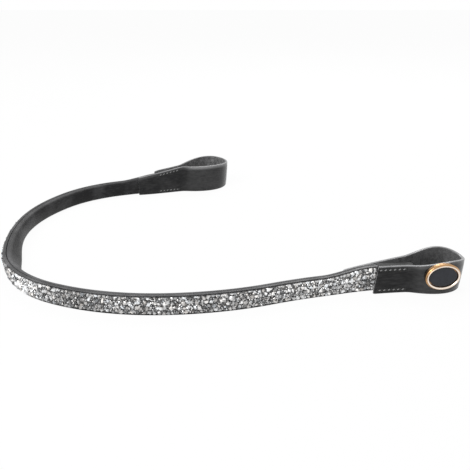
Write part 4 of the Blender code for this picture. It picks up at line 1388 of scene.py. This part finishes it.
# %% [markdown]
# ## The rolled rim
#
# A thin strip of brass is rolled over the edge of the enamel and holds it in the cup. It could be a
# bevelled curve, but its profile steps down outside and slopes inside. The profile is closed, so its
# rings run round the ellipse, the last joins the first, and there is nothing to cap.

# %% The rim
BADGE_RIM_OUTSIDE = ((0, 1.3), (0, 1.8), (0.3, 2.2), (0.5, 2.7))
BADGE_RIM_INSIDE = ((0.95, 2.8), (1.3, 2.5), (1.45, 2.0), (1.45, 1.3))
BADGE_RIM_ROUNDS = (0.1, 0.15, 0.15, 0.15, 0.2, 0.15, 0.15, 0.1)
SHINE_INSET, SHINE_LEVEL, SHINE_REACH = 0.45 * MM, 2.2 * MM, 0.3 * MM
rim_inset, rim_depth = oval_profile(BADGE_RIM_OUTSIDE + BADGE_RIM_INSIDE, BADGE_RIM_ROUNDS)
rim_rings = round_oval(rim_inset, rim_depth)
rim_quads = ring_faces(len(rim_rings) + 1, rim_rings.shape[1]) % rim_rings[..., 0].size
rim_mesh = closed_mesh("rim", rim_rings, [rim_quads], ALL_SMOOTH_DEG)
# The crest mark paints the rim's crest paler: partly rubbed bright, partly a painted highlight.
rim_crest = soft_step((rim_inset - SHINE_INSET) / SHINE_REACH)
rim_crest = rim_crest * soft_step((rim_depth - SHINE_LEVEL) / SHINE_REACH)
give_attribute(rim_mesh, "crest", np.broadcast_to(rim_crest[:, None], rim_rings.shape[:2]))
rim = add_piece(rim_mesh, badge_brass)
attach(rim, "near_loop")
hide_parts("badge_rim")

# %% [markdown]
# ## The face and the cup
#
# The face is a plate: its rings run from the middle of the back over the edge to the middle of the
# front, where a small cap closes them. The enamel domes a little, as it does when it cools. The cup and
# the plate behind the leather already have the right shape, so they only get their metal.

# %% The face, the cup and the back plate
FACE_INSET, FACE_BACK, FACE_FRONT, FACE_DOME = 1.7 * MM, 1.3 * MM, 1.95 * MM, 0.2 * MM
FULL_INSET = BADGE_WIDTH / 2
DOME_RINGS = 14
dome = np.linspace(0, 1, DOME_RINGS)
face_inset = np.concatenate([[FULL_INSET, FACE_INSET], FACE_INSET + (FULL_INSET - FACE_INSET) * dome])
face_depth = np.concatenate([[FACE_BACK, FACE_BACK], FACE_FRONT + FACE_DOME * (1 - (1 - dome) ** 2)])
face_mesh = skins("enamel_face", round_oval(face_inset, face_depth)[None])
face = add_piece(face_mesh, badge_enamel)
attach(face, "near_loop")
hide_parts("badge_face")

for node, finish in (("badge_cup", badge_brass), ("badge_back_plate", badge_steel)):
    materials = frame["nodes"][node].data.materials
    materials.clear()
    materials.append(finish)
    print(node, "is now", finish.name)

# %% [markdown]
# ## The floor
#
# The picture is a product shot, plain white all round. The floor looks white to the camera and in
# mirrors through the Light Path node, and keeps a share of its real shading, so that the object's shadow
# stays on it. Brighter lamps would whiten the floor too, but they would bleach the leather.

# %% Stage
FLOOR_HALF = 2.0
WHITE_SHARE = 0.95


def shows_backdrop(start):
    """1 for rays that come from the camera, a mirror or a pane, and 0 for those that carry light."""
    seen = start.node("ShaderNodeLightPath", {}, {}, "Is Camera Ray")
    mirrored = Wire(seen.tree, seen.socket.node.outputs["Is Glossy Ray"])
    through = Wire(seen.tree, seen.socket.node.outputs["Is Transmission Ray"])
    return start.math("MINIMUM", seen + mirrored + through, 1)


floor_points = np.array(((-1, -1, 0), (1, -1, 0), (1, 1, 0), (-1, 1, 0))) * FLOOR_HALF
floor_mesh = bpy.data.meshes.new("floor")
floor_mesh.from_pydata(floor_points.tolist(), [], [(0, 1, 2, 3)])
floor = bpy.data.objects.new("floor", floor_mesh)
bpy.context.scene.collection.objects.link(floor)
floor_paper, floor_shader, start = new_finish("floor_paper")
connect(floor_shader, Base_Color=(0.86, 0.86, 0.86, 1), Roughness=0.9)
white = start.node("ShaderNodeEmission", {}, {"Color": (1, 1, 1, 1), "Strength": 1.0})
shown = shows_backdrop(start) * WHITE_SHARE
paper = Wire(start.tree, floor_shader.outputs[0])
blended = start.node("ShaderNodeMixShader", {}, {0: shown, 1: paper, 2: white})
start.tree.links.new(blended.socket, start.tree.nodes["Material Output"].inputs["Surface"])
floor_mesh.materials.append(floor_paper)
print("floor", 2 * FLOOR_HALF, "m wide")

# %% [markdown]
# ## Light
#
# The world lights the object evenly from all sides, as a white tent does. A broad soft lamp from the
# left models its shapes, and a second one behind picks out the top edges. Point lamps would be quicker
# to set, but their hard shadows don't belong to this kind of picture.

# %% Lamps and world
AMBIENT = 0.5
KEY_SPOT, KEY_SIZE, KEY_POWER = (-0.45, -0.5, 0.6), 0.5, 5.0
BACK_SPOT, BACK_SIZE, BACK_POWER = (0.15, 0.55, 0.6), 0.4, 3.0
world = bpy.data.worlds.new("studio")
world.use_nodes = True
bpy.context.scene.world = world
sky = Wire(world.node_tree)
backdrop = world.node_tree.nodes["Background"]
connect(backdrop, Color=(1, 1, 1, 1), Strength=AMBIENT + shows_backdrop(sky) * (1 - AMBIENT))


def soft_lamp(name, spot, size, power):
    """A square lamp at a spot, turned to face the origin."""
    lamp = bpy.data.lights.new(name, "AREA")
    lamp.size = size
    lamp.energy = power
    holder = bpy.data.objects.new(name, lamp)
    holder.location = spot
    turn = math.atan2(spot[1], spot[0]) + math.pi / 2
    holder.rotation_euler = (math.atan2(math.hypot(spot[0], spot[1]), spot[2]), 0, turn)
    bpy.context.scene.collection.objects.link(holder)
    print(name, "lamp", size, "m wide,", power, "W")


soft_lamp("key", KEY_SPOT, KEY_SIZE, KEY_POWER)
soft_lamp("back", BACK_SPOT, BACK_SIZE, BACK_POWER)

# %% [markdown]
# ## The camera
#
# The camera stands in front of the open U and looks down a little. Its place was worked out together
# with the plan of the band, from the two long edges in the photograph. Aiming it by eye would get close,
# but then every shape would be bent to make up for the rest. It is kept as steps from the near hinge.

# %% Camera
CAMERA_FROM_HINGE = (0.03278, -0.29458, 0.1434)
CAMERA_TILT_DEG = 20.0
FOCAL_PIXELS, PICTURE_PIXELS, SENSOR = 755.5, 470, 36
camera_data = bpy.data.cameras.new("camera")
camera_data.sensor_width = SENSOR
camera_data.lens = FOCAL_PIXELS / PICTURE_PIXELS * SENSOR
camera = bpy.data.objects.new("camera", camera_data)
camera.location = np.array(joints["near_arm_flex"]["pos_m"]) + CAMERA_FROM_HINGE
camera.rotation_euler = (math.radians(90 - CAMERA_TILT_DEG), 0, 0)
bpy.context.scene.collection.objects.link(camera)
bpy.context.scene.camera = camera
bpy.context.scene.view_settings.view_transform = "Standard"
print("camera at", [round(side, 4) for side in camera.location], "lens", round(camera_data.lens, 1), "mm")
